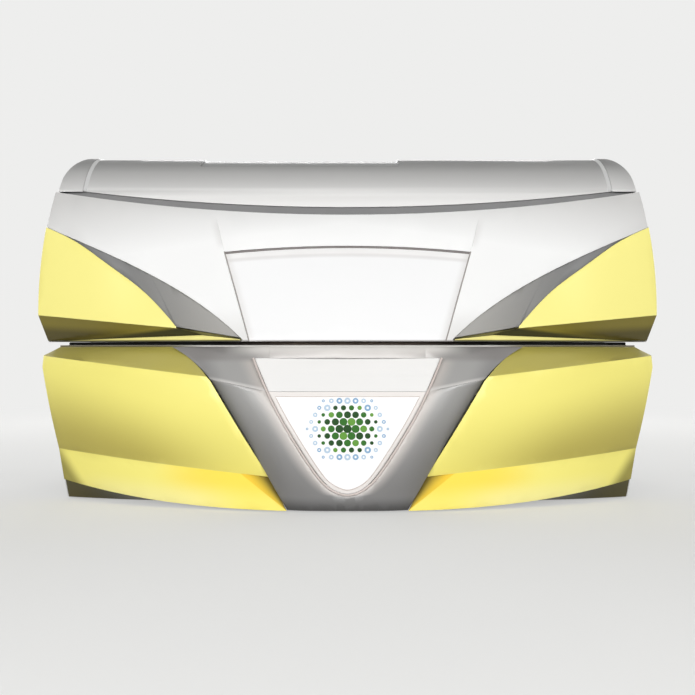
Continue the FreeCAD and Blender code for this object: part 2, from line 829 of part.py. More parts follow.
def rear_panel():
    """The back of the base, with louvres and holes for its screws and the mains inlet."""
    rear = rear_face
    plate = curtain(base_outline(size.skin + size.seam, high=under_rim), rear - size.skin, rear)
    slots = []
    for middle in (-size.louvre_setout, 0.0, size.louvre_setout):
        for i in range(int(size.louvre_count)):
            corner = Vector(middle - size.louvre_length / 2, rear - 3 * size.skin,
                            size.louvre_low_z + i * size.louvre_pitch)
            slots.append(Part.makeBox(size.louvre_length, 5 * size.skin, size.louvre_height, corner))
    for spot in screw_spots:
        slots.append(Part.makeCylinder(size.screw_radius + 0.2, 20, spot + Vector(0, -15, 0),
                                       Vector(0, 1, 0)))
    slots.append(Part.makeCylinder(size.inlet_radius + 0.3, 20,
                                   Vector(size.inlet_x, rear - 12, size.inlet_z), Vector(0, 1, 0)))
    return one_solid(plate.cut(Part.makeCompound(slots)))


screw_rear = rear_face
screw_spots = [Vector(x, screw_rear, z) for x in (-930.0, -465.0, 0.0, 465.0, 930.0) for z in (40.0, 480.0)]

for name, shape in (("base_panel", side_panel()), ("base_end_panel", base_end_panel())):
    keep_shape(name + "_right", shape)
    keep_shape(name + "_left", mirrored(shape))
skirt = side_skirt()
keep_shape("base_skirts", Part.makeCompound([skirt, mirrored(skirt)]))
keep_shape("base_surround", surround())
keep_shape("base_insert_top", insert_face(size.insert_fold_z + size.seam, size.insert_top_z - 0.2,
                                          size.insert_fold_y, size.insert_top_y))
keep_shape("base_insert_panel", insert_face(size.insert_low_z - 20, size.insert_fold_z,
                                            size.insert_low_y, size.insert_fold_y))
keep_shape("base_insert_bead", bead())
keep_shape("base_top_rim", top_rim())
keep_shape("base_rear_panel", rear_panel())

# ---------------------------------------------------------------- bench

spread = math.degrees(math.asin((size.bench_half_width - 1) / (bench_radius + size.glass)))
keep_shape("bench_acrylic", strip(arc_band(bench_radius, bench_radius + size.glass, 270 - spread,
                                           270 + spread,
                                           bench_axis_z), -lamp_end, lamp_end))


def lamp_body(name, right_end):
    """A lamp turned about its own axis: a hollow glass tube with a cap on each end."""
    left, right = "-$lamp_half_length", right_end + " - $cap_length"
    bore = "($lamp_radius - $lamp_wall)"
    corners = [("0", left + " - $cap_length"), ("$cap_radius", left + " - $cap_length"),
               ("$cap_radius", left),
               ("$lamp_radius", left), ("$lamp_radius", right), ("$cap_radius", right),
               ("$cap_radius", right_end),
               ("0", right_end), ("0", right), (bore, right), (bore, left), ("0", left)]
    return turned(name, corners)


def lamp_spots(count, arc_radius, middle_angle, axis_z):
    """Centres of the lamps on an arc, evenly spaced along it."""
    step = math.degrees(size.lamp_pitch / arc_radius)
    first = middle_angle - step * (count - 1) / 2
    return [on_arc(arc_radius, first + i * step, axis_z) for i in range(int(count))]


def sockets(spots, left, right):
    shapes = []
    for spot in spots:
        shapes.append(tube_along_x(size.socket_radius, left - size.socket_length, left, spot.y, spot.z))
        shapes.append(tube_along_x(size.socket_radius, right, right + size.socket_length, spot.y, spot.z))
    return shapes


lie_down = FreeCAD.Rotation(Vector(0, 1, 0), 90)
long_lamp = lamp_body("long_lamp", "$lamp_half_length + $cap_length")
short_lamp = lamp_body("short_lamp", "$facial_left - $socket_length - 2 * $seat_gap")
doc.recompute()

bench_spots = lamp_spots(size.bench_lamp_count, bench_lamp_arc, 270, bench_axis_z)
keep_shape("bench_lamps", copies(long_lamp, bench_spots, lie_down))
bench_turn = math.degrees(math.asin((size.bench_half_width - 8) / bench_lamp_arc))
plate_edges = arc_band(bench_lamp_arc - size.socket_radius, bench_lamp_arc + 2 * size.socket_radius,
                       270 - bench_turn, 270 + bench_turn, bench_axis_z)
holder_plates = [strip(plate_edges, plate_x, plate_x + size.plate_wall - seat),
                 strip(plate_edges, -plate_x - size.plate_wall + seat, -plate_x)]
keep_shape("bench_lamp_holders", Part.makeCompound(sockets(bench_spots, -socket_x,
                                                           socket_x) + holder_plates))
reflector_arc = bench_lamp_arc + size.lamp_radius + size.reflector_gap
keep_shape("bench_reflector", strip(arc_band(reflector_arc, reflector_arc + size.reflector_wall,
                                             270 - bench_turn, 270 + bench_turn, bench_axis_z),
                                    -plate_x + seat, plate_x - seat))

# ---------------------------------------------------------------- base frame

frame_parts = []


def square_tube(name, axis, length, x, y, z, wide="$tube"):
    """A square tube along an axis; its corner is at x, y, z."""
    sides = {"X": (length, wide, wide), "Y": (wide, length, wide), "Z": (wide, wide, length)}[axis]
    outer = block(name + "_outer", *sides, x, y, z)
    wall = "$tube_wall"
    inner_sides = [s if s == length else f"{s} - 2 * {wall}" for s in sides]
    starts = [f"{start} + {wall}" for start in (x, y, z)]
    starts["XYZ".index(axis)] = (x, y, z)["XYZ".index(axis)]
    inner = block(name + "_bore", *inner_sides, *starts)
    return cut(name, outer, inner)


inner_half = "($frame_half - $tube)"
for hand, label in ((1, "right"), (-1, "left")):
    end_x = "$frame_half - $tube" if hand == 1 else "-$frame_half"
    depth = "$frame_front + $frame_rear"
    above = "$base_top - $rim_wall - $seat_gap - $frame_z - $tube"
    frame_parts.append(square_tube(f"end_sill_{label}", "Y", depth, end_x, "-$frame_front", "$frame_z"))
    for spot, y in (("front", "-$frame_front"), ("rear", "$frame_rear - $tube")):
        frame_parts.append(square_tube(f"{spot}_upright_{label}", "Z", above, end_x, y, "$frame_z + $tube"))
    frame_parts.append(square_tube(f"end_rail_{label}", "Y", depth + " - 2 * $tube", end_x,
                                   "-$frame_front + $tube", "$base_top - $rim_wall - $seat_gap - $tube"))
    rib_x = ("" if hand == 1 else "-") + "$rib_x - $tube / 2"
    frame_parts.append(square_tube(f"nose_rib_{label}", "Y", "$rib_front - $frame_front", rib_x,
                                   "-$rib_front", "$frame_z"))
    frame_parts.append(square_tube(f"middle_rib_{label}", "Y", depth + " - 2 * $tube", rib_x,
                                   "-$frame_front + $tube", "$frame_z"))
    frame_parts.append(square_tube(f"nose_upright_{label}", "Z", above, rib_x, "-$rib_front",
                                   "$frame_z + $tube"))
for spot, y in (("front", "-$frame_front"), ("rear", "$frame_rear - $tube")):
    frame_parts.append(square_tube(f"{spot}_sill", "X", f"2 * {inner_half}", f"-{inner_half}", y,
                                   "$frame_z"))
for hand, label in ((1, "right"), (-1, "left")):
    bracket_x = "$frame_half - $ear_wall" if hand == 1 else "-$frame_half"
    frame_parts.append(block(f"strut_bracket_{label}", "$ear_wall",
                             "$frame_rear - $tube - $strut_low_y + $eye_radius",
                             "2 * $eye_radius", bracket_x, "$strut_low_y - $eye_radius",
                             "$strut_low_z - $eye_radius"))
    stud_x = "$frame_half" if hand == 1 else "-$frame_half - ($strut_x - $frame_half + $eye_wall)"
    frame_parts.append(rod_along(f"strut_stud_{label}", "X", "$eye_pin_radius",
                                 "$strut_x - $frame_half + $eye_wall",
                                 stud_x, "$strut_low_y", "$strut_low_z"))
frame_whole = joined("frame_whole", frame_parts)

foot_places = [(hand * (size.frame_half - size.tube / 2), y) for hand in (1, -1)
               for y in (-size.frame_front + size.tube / 2, size.frame_rear - size.tube / 2)]
foot_places += [(hand * size.rib_x, y) for hand in (1, -1)
                for y in (-size.rib_front + size.tube / 2, size.frame_rear - size.tube / 2)]
foot_bores = []
for i, (x, y) in enumerate(foot_places):
    bore = doc.addObject("Part::Cylinder", f"foot_bore_{i}")
    bind(bore, "Radius", "$stud_radius + $seat_gap")
    bind(bore, "Height", "$tube / 2")
    bore.Placement.Base = Vector(x, y, size.frame_z - 5)
    foot_bores.append(bore)
frame = cut("frame_bored", frame_whole, joined("foot_bores", foot_bores))
keep("base_frame", frame)

foot = turned("foot_master", [
    ("0", "0"), ("$foot_radius", "0"), ("$foot_radius", "$foot_height / 2"), ("$nut_radius", "$foot_height"),
    ("$nut_radius", "$frame_z - $seat_gap"), ("$stud_radius", "$frame_z - $seat_gap"),
    ("$stud_radius", "$frame_z + $tube / 3"), ("0", "$frame_z + $tube / 3")])
doc.recompute()
keep_shape("levelling_feet", copies(foot, [Vector(x, y, 0) for x, y in foot_places]))

# ---------------------------------------------------------------- base floor pan and electrics

pan_z = size.frame_z + size.tube
pan = block("pan_sheet", f"2 * {inner_half} - 2 * $seat_gap", "$frame_front + $frame_rear - 2 * $tube",
            "$pan_wall",
            f"-{inner_half} + $seat_gap", "-$frame_front + $tube", "$frame_z + $tube")
intakes = [rod_along(f"intake_{i}", "Z", "$fan_radius - 12", "6 * $pan_wall", x, "$fan_base_y",
                     "$frame_z + $tube - 4")
           for i, x in enumerate(("$fan_base_x", "-$fan_base_x"))]
keep("base_floor_pan", cut("pan", pan, joined("intakes", intakes)))


def fan_housing(x, y, z):
    """A flange, a duct ring, the spider with the motor, and its shaft."""
    wide, deep = size.fan_flange_width, size.fan_flange_depth
    flange = Part.makeBox(wide, deep, size.plate_wall, Vector(-wide / 2, -deep / 2, 0))
    shape = flange.fuse(Part.makeCylinder(size.fan_radius + size.plate_wall, size.fan_depth))
    shape = shape.cut(Part.makeCylinder(size.fan_radius, 3 * size.fan_depth, Vector(0, 0, -size.fan_depth)))
    arm = Part.makeBox(2 * size.fan_radius + 2, 10, 6, Vector(-size.fan_radius - 1, -5, 0))
    for turn in (30, 90, 150):
        shape = shape.fuse(arm.rotated(Vector(0, 0, 0), Vector(0, 0, 1), turn))
    shape = shape.fuse(Part.makeCylinder(size.motor_radius, motor_top))
    shape = shape.fuse(Part.makeCylinder(size.fan_shaft, size.fan_depth - 6))
    shape.translate(Vector(x, y, z))
    return one_solid(shape)


def fan_rotor(x, y, z):
    """A hub on the motor's shaft with twisted blades."""
    low, high = motor_top + 2, size.fan_depth - 10
    hub = Part.makeCylinder(size.fan_hub, high - low, Vector(0, 0, low))
    hub = hub.cut(Part.makeCylinder(size.fan_shaft + size.pin_play, size.fan_depth))
    wings = []
    for i in range(int(size.blade_count)):
        rows = []
        for reach, lean in ((size.fan_hub - 4, 16.0), (size.fan_radius - 5, 34.0)):
            a, b = Vector(reach, -lean, low + 2), Vector(reach, lean, high - 2)
            rows.append(Part.makeLine(a, b))
        wing = Part.makeRuledSurface(rows[0], rows[1], 1).extrude(Vector(0, 0, size.blade_wall))
        wings.append(wing.rotated(Vector(0, 0, 0), Vector(0, 0, 1), 360.0 * i / size.blade_count))
    shape = hub.multiFuse(wings).cut(Part.makeCylinder(size.fan_shaft + size.pin_play, size.fan_depth))
    shape.translate(Vector(x, y, z))
    return one_solid(shape)


motor_top = size.fan_depth * 0.4
fan_z = pan_z + size.pan_wall
fan_homes = {"left": Vector(-size.fan_base_x, size.fan_base_y, fan_z),
             "right": Vector(size.fan_base_x, size.fan_base_y, fan_z)}
keep_shape("base_fan_housings", Part.makeCompound([fan_housing(*home) for home in fan_homes.values()]))
for label, home in fan_homes.items():
    keep_shape(f"base_fan_rotor_{label}", fan_rotor(*home))

ballasts = []
for x in (-size.ballast_outer_x, -size.ballast_inner_x, size.ballast_inner_x, size.ballast_outer_x):
    for i in range(3):
        y = -1.2 * size.ballast_pitch + i * size.ballast_pitch
        corner = Vector(x - size.ballast_length / 2, y, fan_z)
        ballasts.append(Part.makeBox(size.ballast_length, size.ballast_width, size.ballast_height, corner))
keep_shape("base_ballasts", Part.makeCompound(ballasts))
keep("power_box", block("power_box", "$power_box_length", "$power_box_width", "$power_box_height",
                        "-$power_box_length / 2", "$frame_rear - $tube - $power_box_width - 60",
                        "$frame_z + $tube + $pan_wall"))

screw = turned("screw_master", [
    ("0", "-$screw_length"), ("$screw_radius", "-$screw_length"), ("$screw_radius", "$seat_gap / 6"),
    ("$screw_head", "$seat_gap / 6"), ("$screw_head", "$screw_rise * 0.6"),
    ("$screw_head * 0.7", "$screw_rise"),
    ("0", "$screw_rise")])
gland = turned("gland_master", [
    ("0", "-20"), ("$inlet_radius", "-20"), ("$inlet_radius", "$seat_gap / 6"),
    ("$inlet_radius + 5", "$seat_gap / 6"),
    ("$inlet_radius + 5", "$screw_rise * 0.8"), ("$inlet_radius - 4", "$screw_rise * 0.8"),
    ("$inlet_radius - 4", "-12"),
    ("0", "-12")])
doc.recompute()
face_back = FreeCAD.Rotation(Vector(1, 0, 0), -90)
keep_shape("rear_screws", copies(screw, screw_spots, face_back))
keep_shape("mains_inlet", copies(gland, [Vector(size.inlet_x, screw_rear, size.inlet_z)],
                                 face_back).Solids[0])

# ---------------------------------------------------------------- hinge

post = new_body("hinge_post_master")
outline = sketch_on(post, "post_outline", "YZ_Plane")
polygon(outline, [("$frame_rear - $tube", "$frame_z + $tube"), ("$frame_rear", "$frame_z + $tube"),
                  ("$frame_rear", "$base_top"), ("($frame_rear - $hinge_setback) + $boss_radius",
                                                 "$base_top + 20"),
                  ("($frame_rear - $hinge_setback) + $boss_radius", "$hinge_z + $boss_radius"),
                  ("($frame_rear - $hinge_setback) - $boss_radius", "$hinge_z + $boss_radius"),
                  ("($frame_rear - $hinge_setback) - $boss_radius", "$base_top")])
pad(post, outline, "$arm_wall + 2 * $ear_play + 2 * $ear_wall", middle=True)
bore = sketch_on(post, "post_bore", "YZ_Plane")
circle(bore, "($frame_rear - $hinge_setback)", "$hinge_z", "$pin_radius + $pin_play")
pocket_through(post, bore)
slot = sketch_on(post, "arm_slot", "XZ_Plane")
low_slot = "$hinge_z - $boss_radius - 6"
high_slot = "$hinge_z + 2 * $boss_radius"
half_slot = "$arm_wall / 2 + $ear_play"
polygon(slot, [(f"-({half_slot})", low_slot), (half_slot, low_slot), (half_slot, high_slot),
               (f"-({half_slot})", high_slot)])
pocket_through(post, slot)
pin = turned("pin_master", [
    ("0", "-$arm_wall / 2 - $ear_play - $ear_wall - 4"), ("$pin_head",
                                                          "-$arm_wall / 2 - $ear_play - $ear_wall - 4"),
    ("$pin_head", "-$arm_wall / 2 - $ear_play - $ear_wall - $seat_gap"),
    ("$pin_radius", "-$arm_wall / 2 - $ear_play - $ear_wall - $seat_gap"),
    ("$pin_radius", "$arm_wall / 2 + $ear_play + $ear_wall + $seat_gap"),
    ("$pin_head", "$arm_wall / 2 + $ear_play + $ear_wall + $seat_gap"),
    ("$pin_head", "$arm_wall / 2 + $ear_play + $ear_wall + 4"),
    ("0", "$arm_wall / 2 + $ear_play + $ear_wall + 4")])
doc.recompute()
post_places = [Vector(size.post_x, 0, 0), Vector(-size.post_x, 0, 0)]
keep_shape("hinge_posts", copies(post, post_places))
keep_shape("hinge_pins", copies(pin, [spot + side(hinge_y, size.hinge_z) for spot in post_places], lie_down))

# ---------------------------------------------------------------- canopy frame

inner_roof = size.roof_radius - size.roof_wall
frame_arc = inner_roof - seat
bulkhead_x = plate_x
liner_top = lip_z + size.skin
rear_inner_y = size.tunnel_y + inner_roof - seat
end_arch = size.end_arch_radius


def bulkhead():
    """The right-hand end plate of the canopy's frame: lamps, roof and covers hang on it."""
    front_y, top_y = -size.bulkhead_edge_y, -size.bulkhead_edge_y + 37
    corner_z = size.roof_axis_z + math.sqrt(frame_arc ** 2 - (size.tunnel_y - top_y) ** 2)
    low = liner_top + seat
    step = size.visor_top_z + 43
    start, crown = side(top_y, corner_z), side(size.tunnel_y, size.roof_axis_z + frame_arc)
    back = side(rear_inner_y, size.roof_axis_z)
    foot = size.tunnel_y + end_arch
    edges = [arc(start, crown, back), Part.makeLine(back, side(rear_inner_y, low)),
             Part.makeLine(side(rear_inner_y, low), side(foot, low)),
             Part.makeLine(side(foot, low), side(foot, size.arch_z)),
             arc(side(foot, size.arch_z), side(size.tunnel_y, size.arch_z + end_arch),
                 side(size.tunnel_y - end_arch, size.arch_z)),
             Part.makeLine(side(size.tunnel_y - end_arch, size.arch_z), side(size.tunnel_y - end_arch, low)),
             Part.makeLine(side(size.tunnel_y - end_arch, low), side(front_y, low)),
             *run([side(front_y, low), side(front_y, step), side(top_y, step + 10), start])]
    plate = strip(edges, bulkhead_x, bulkhead_x + size.plate_wall)
    for offset, z, radius in ((0, 1110, 80), (-170, 1045, 55), (170, 1045, 55)):
        plate = plate.cut(tube_along_x(radius, bulkhead_x - 5, bulkhead_x + 20, size.tunnel_y + offset, z))
    stud = tube_along_x(size.stud_radius, bulkhead_x + 1, size.strut_x - size.eye_wall / 2 - size.cup_play,
                        size.strut_high_y, size.strut_high_z)
    return plate.fuse(stud)


def hollow_tube(y, z):
    """A square tube of the canopy's frame along X."""
    wide, wall, half = size.canopy_tube, size.tube_wall, bulkhead_x + 0.5
    outer = Part.makeBox(2 * half, wide, wide, Vector(-half, y, z))
    inner = Part.makeBox(2 * half, wide - 2 * wall, wide - 2 * wall, Vector(-half, y + wall, z + wall))
    return outer.cut(inner)


def hinge_arm(x):
    """An arm from the rear tube to the hinge pin."""
    reach = size.boss_radius
    corners = [side(rear_tube_y + 4, size.rear_tube_z), side(rear_tube_y + 4,
                                                             size.rear_tube_z + size.canopy_tube),
               side(hinge_y - 20, size.hinge_z + 2 * reach),
               side(hinge_y + 0.8 * reach, size.hinge_z + 0.6 * reach),
               side(hinge_y, size.hinge_z - reach), side(hinge_y - reach, size.hinge_z - 0.2 * reach)]
    plate = strip(ring(corners), x - size.arm_wall / 2, x + size.arm_wall / 2)
    boss = tube_along_x(reach, x - size.arm_wall / 2, x + size.arm_wall / 2, hinge_y, size.hinge_z)
    return plate.fuse(boss).cut(tube_along_x(size.pin_radius + size.pin_play, x - 20, x + 20, hinge_y,
                                             size.hinge_z))


arch_outer = size.arch_radius + size.glass
edge_turn = math.radians(size.arch_edge_angle)
# the liner's upright walls stand under the sheet's edges
wall_y = arch_outer * math.cos(edge_turn)
wall_top = size.arch_z + size.arch_radius * math.sin(edge_turn) - seat
front_tube_y = size.tunnel_y - wall_y - seat - size.canopy_tube
rear_tube_y = size.tunnel_y + wall_y + seat
frame_pieces = [bulkhead(), mirrored(bulkhead())]
frame_pieces += [hollow_tube(front_tube_y, size.rear_tube_z), hollow_tube(rear_tube_y, size.rear_tube_z)]
for offset in (-size.top_tube_offset - size.canopy_tube, size.top_tube_offset):
    frame_pieces.append(hollow_tube(size.tunnel_y + offset, size.top_tube_z))
frame_pieces += [hinge_arm(size.post_x), hinge_arm(-size.post_x)]
keep_shape("canopy_frame", one_solid(frame_pieces[0].multiFuse(frame_pieces[1:])))

# ---------------------------------------------------------------- canopy tunnel

keep_shape("canopy_acrylic", strip(arc_band(size.arch_radius, arch_outer, size.arch_edge_angle,
                                            180 - size.arch_edge_angle, size.arch_z), -plate_x + seat,
                                            plate_x - seat))
arch_spots = lamp_spots(size.canopy_lamp_count, arch_lamp_arc, 90, size.arch_z)
spare = int((size.canopy_lamp_count - size.short_lamp_count) / 2)
short_spots = arch_spots[spare:len(arch_spots) - spare]
long_spots = arch_spots[:spare] + arch_spots[len(arch_spots) - spare:]
lamps = copies(long_lamp, long_spots, lie_down).Solids + copies(short_lamp, short_spots, lie_down).Solids
keep_shape("canopy_lamps", Part.makeCompound(lamps))
keep_shape("canopy_lamp_holders", Part.makeCompound(sockets(long_spots, -socket_x, socket_x)
                                                    + sockets(short_spots, -socket_x,
                                                              short_lamp_end + seat)))

mirror_arc = arch_lamp_arc + size.lamp_radius + size.reflector_gap
mirror_sheet = strip(arc_band(mirror_arc, mirror_arc + size.reflector_wall, size.reflector_end_angle,
                              180 - size.reflector_end_angle, size.arch_z), -plate_x + seat, plate_x - seat)
face_length = size.facial_right - size.facial_left
face_window = Part.makeBox(face_length + 8, 2 * size.facial_half_width + 8, 200,
                           Vector(size.facial_left - 4, size.tunnel_y - size.facial_half_width - 4,
                                  size.facial_low_z - 60))
fan_window = Part.makeCylinder(size.fan_radius, 200, Vector(size.vent_middle_x, size.tunnel_y,
                                                            size.top_tube_z - 60))
keep_shape("canopy_reflector", one_solid(mirror_sheet.cut(face_window).cut(fan_window)))

tube_top = size.top_tube_z + size.canopy_tube


def facial_housing():
    """The face unit's housing, open below, hung on the two top tubes by straps."""
    left, half, wall, low = size.facial_left, size.facial_half_width, size.facial_wall, size.facial_low_z
    high = tube_top + seat + wall
    outer = Part.makeBox(face_length, 2 * half, high - low, Vector(left, size.tunnel_y - half, low))
    inner = Part.makeBox(face_length - 2 * wall, 2 * half - 2 * wall, high - low,
                         Vector(left + wall, size.tunnel_y - half + wall, low - wall))
    shape = outer.cut(inner)
    reach = size.top_tube_offset + size.canopy_tube
    for x in (left + 60, size.facial_right - 120):
        shape = shape.fuse(Part.makeBox(60, 2 * reach, wall, Vector(x, size.tunnel_y - reach, high - wall)))
    return one_solid(shape)


keep_shape("facial_unit", facial_housing())
keep("facial_glass", block("facial_glass", "$facial_right - $facial_left", "2 * $facial_half_width",
                           "$plate_wall",
                           "$facial_left", "$tunnel_y - $facial_half_width",
                           "$facial_low_z - $plate_wall - $seat_gap"))
burners = []
for i in range(int(size.burner_count)):
    x = size.facial_left + face_length * (i + 0.5) / size.burner_count
    reach = size.facial_half_width - size.facial_wall - seat
    burners.append(Part.makeCylinder(size.burner_radius, 2 * reach,
                                     Vector(x, size.tunnel_y - reach, size.facial_low_z + 26),
                                     Vector(0, 1, 0)))
keep_shape("facial_burners", Part.makeCompound(burners))

canopy_fan_home = Vector(size.vent_middle_x, size.tunnel_y, tube_top + seat)
keep_shape("canopy_fan_housing", fan_housing(*canopy_fan_home))
keep_shape("canopy_fan_rotor", fan_rotor(*canopy_fan_home))


lip_tip = Vector(size.leg_half + 1, -size.lip_tip_y, lip_z)
lip_crease_tip = lip_tip + Vector(3, 12, 8)


def valley_x(share):
    """X between the nosing's tip and the end of the canopy."""
    return lip_crease_tip.x + share * (size.half_length + 12 - lip_crease_tip.x)


valley = [Vector(size.half_length + 12, -size.lip_end_y + 12, lip_z + 2),          # foot line of the fin
          Vector(valley_x(0.545), -size.lip_end_y - size.lip_depth - 15, lip_z + size.lip_rise),
          Vector(valley_x(0.1855), -size.lip_mid_y, lip_z + 1.6 * size.lip_rise), lip_crease_tip]


def liner_front(x):
    return Vector(x, nose(x) + size.visor_lip_setback + size.visor_wall + 3, lip_z)


def lip_crest(shift):
    """The line along the top of the nosing, from the end of the canopy to its tip beside the white front."""
    start = Vector(valley[0].x - 40, valley[0].y, valley[0].z)
    return [p + shift for p in (start, *valley[1:])]


def liner():
    """The canopy's underside and the upright walls that carry the long edges of the acrylic."""
    bend = size.leg_half - 10
    outer_x = size.half_length - size.lower_inset - size.skin - size.seam
    middle = rail(liner_front, -bend, bend, 7)
    crest = [Vector(p.x, p.y, lip_z) for p in lip_crest(Vector(0, 6, 0))]
    wing = [smooth(crest[:3]), *run([crest[2], crest[3], liner_front(bend)])]
    back = [Vector(crest[0].x, rear_inner_y, lip_z), Vector(-crest[0].x, rear_inner_y, lip_z)]
    edges = [middle, *wing, *[mirrored(edge) for edge in wing]]
    edges += run([crest[0]] + back + [Vector(-crest[0].x, crest[0].y, lip_z)])
    plate = Part.Face(Part.Wire(Part.sortEdges(edges)[0])).extrude(Vector(0, 0, size.skin))
    plate = plate.common(Part.makeBox(2 * outer_x, 3000, 100, Vector(-outer_x, -1500, lip_z - 20)))
    half, wall = plate_x - seat, size.skin
    block_out = Part.makeBox(2 * half, 2 * wall_y, wall_top - lip_z,
                             Vector(-half, size.tunnel_y - wall_y, lip_z))
    block_in = Part.makeBox(2 * half + 2, 2 * (wall_y - wall), 400,
                            Vector(-half - 1, size.tunnel_y - wall_y + wall, lip_z - 50))
    ends = Part.makeBox(3000, 2 * (end_arch + size.skin + seat), 400,
                        Vector(-1500, size.tunnel_y - end_arch - size.skin - seat, lip_z - 50))
    shape = plate.fuse(block_out).cut(block_in).cut(ends)
    for hand in (1, -1):
        shape = shape.cut(Part.makeBox(24, 74, 60, Vector(hand * size.strut_x - 12, size.strut_high_y - 8,
                                                          lip_z - 20)))
    return Part.makeCompound(shape.removeSplitter().Solids)         # the front and the rear half


keep_shape("canopy_liner", liner())

# ---------------------------------------------------------------- canopy covers

leg_z = lip_z + 10
peak_half = size.half_length - size.peak_inset


def between(a, b, share):
    return a + (b - a) * share


white_shares = ((1, 1), (0.7285, 0.7895), (0.453, 0.553), (0.1814, 0.263), (0, 0))
white_edge = [flat(between(size.leg_half, peak_half, u), between(leg_z, size.fin_peak_z, v)) for u,
              v in white_shares]


def visor_region():
    """The part of the front view that the white visor fills."""
    above = flat(past_end, 1200)
    corner = flat(past_end, 982)
    foot = flat(size.leg_half - 12, lip_z - 5)
    right = [Part.makeLine(above, corner), Part.makeLine(corner, white_edge[0]), smooth(white_edge),
             Part.makeLine(white_edge[-1], foot)]
    left = [mirrored(edge) for edge in right]
    return right + left + [Part.makeLine(flat(-above.x, above.z), above),
                           Part.makeLine(flat(-foot.x, foot.z), foot)]


def door_edges(grow=0.0):
    """The insert panel in the middle of the visor."""
    half, low_half = size.door_top_half + grow, size.door_low_half + grow
    corner, foot = flat(half, size.door_top_z + grow), flat(low_half, lip_z - 5)
    crown = flat(0, size.door_top_z + size.door_crown + grow)
    return [arc(flat(-half, corner.z), crown, corner), Part.makeLine(corner, foot),
            Part.makeLine(foot, flat(-low_half, foot.z)), Part.makeLine(flat(-low_half, foot.z),
                                                                        flat(-half, corner.z))]


def visor_skin(back, wall):
    half = shoulder_x
    reach = half + 60
    top = rail(lambda x: visor_top(x) + Vector(0, back, 0), -reach, reach, 9)
    low = rail(lambda x: visor_lip(x) + Vector(0, back, 0), -reach, reach, 9)
    return facet(top, low, Vector(0, wall, 0))


def visor():
    shape = visor_skin(0.0, size.visor_wall).common(curtain(visor_region()))
    shape = shape.common(curtain(canopy_outline(0.0, lip_z - 30, 1200)))
    return one_solid(shape.cut(curtain(door_edges())))


def door():
    shape = visor_skin(size.door_recess, size.visor_wall - size.door_recess)
    return one_solid(shape.common(curtain(door_edges(-size.seam))))


def band():
    """The dark strip under the roof's front edge, and the shelf that joins it to the visor."""
    inside = 0.8

    def behind_roof(x, rise):
        z = roof_edge_z(x)
        return Vector(x, roof_front(z + 10, inner_roof) + inside, z + rise)

    half = shoulder_x - 20
    top = rail(lambda x: behind_roof(x, 10), -half, half, 9)
    foot = rail(lambda x: Vector(x, behind_roof(x, 0).y, visor_top(x).z - 8), -half, half, 9)
    shelf = rail(lambda x: visor_at(x, visor_top(x).z - 8, size.visor_wall + inside), -half, half, 9)
    wall = facet(top, foot, Vector(0, 3, 0))
    return one_solid(wall.fuse(facet(foot, shelf, Vector(0, 0,
                                                         -3))).fuse(facet(foot.translated(Vector(0, 3,
                                                                                                 0)),
                                                                                                 foot,
                                                                                                 Vector(0,
                                                                                                        0,
                                                                                                        -3))))


fin_shares = ((1, 1, 1), (0.772, 0.806, 0.8536), (0.522, 0.581, 0.6238), (0.262, 0.355, 0.3693),
              (0.113, 0.161, 0.1806))
fin_top = [Vector(between(size.fin_tip_x, peak_half, u), -between(size.fin_tip_y, size.fin_peak_y, v),
                  between(size.fin_tip_z, size.fin_peak_z, w)) for u, v, w in fin_shares]
fin_tip = Vector(size.fin_tip_x, -size.fin_tip_y, size.fin_tip_z)
fin_end = Vector(size.half_length + 12, -size.fin_end_y, size.fin_crease_z)
out_step = Vector(40, 12, 18)           # the rails run past the silhouette in this direction
lip_end = Vector(size.half_length - size.lower_inset, -size.lip_end_y, lip_z)


def fin():
    """The right-hand yellow fin: its main face and the two facets under it."""
    peak = smooth([fin_top[0] + out_step] + fin_top + [fin_tip + Vector(0, 0, 5)])
    crease = Part.makeLine(fin_end, fin_tip)
    under = facet(crease, smooth(valley[:3]), inward)
    bridge = facet(Part.makeLine(fin_tip, valley[3] + Vector(0, 0, 4)),
                   Part.makeLine(valley[2], valley[3]), inward)
    shape = facet(peak, crease, inward).multiFuse([under, bridge])
    return one_solid(shape.common(curtain(canopy_outline(0.0, lip_z - 30, 1200))))


def lip():
    """The bright nosing along the foot of the right-hand fin, level below and sloping above."""
    blunt = Vector(0, 0, size.seam)
    crest = lip_crest(blunt * -1)
    left, right = lip_tip + blunt, lip_end + blunt
    split = left + (right - left) * ((valley[2].x - left.x) / (right.x - left.x))
    down = Vector(0, 0, -4 * size.lip_rise)
    shape = facet(smooth(crest[:3]), Part.makeLine(right, split), down)
    shape = shape.fuse(facet(Part.makeLine(crest[2], crest[3]), Part.makeLine(split, left), down))
    return one_solid(shape.common(Part.makeBox(3000, 3000, 200, Vector(-1500, -1500, lip_z))))


def wedge():
    """The grey facet between the white front and the yellow fin."""
    split = 2
    behind = [visor_at(p.x, p.z + 3, size.visor_wall + 3) for p in white_edge]
    drop = Vector(0, 0, size.seam)
    upper = facet(smooth([behind[0] + out_step, *behind[:split + 1]]),
                  smooth([p + drop for p in (fin_top[0] + out_step, *fin_top,
                                             fin_tip + Vector(0, 0, 5))]), inward)
    low_drop = Vector(0, 0, size.seam + 4)
    lower = facet(smooth(behind[split:]), Part.makeLine(fin_tip + low_drop, lip_crease_tip + low_drop),
                  inward)
    shape = upper.fuse(lower).common(curtain(canopy_outline(0.0, lip_z - 30, 1200)))
    front = visor_skin(-size.seam, size.visor_wall + 2 * size.seam).common(curtain(visor_region()))
    return one_solid(shape.cut(front))


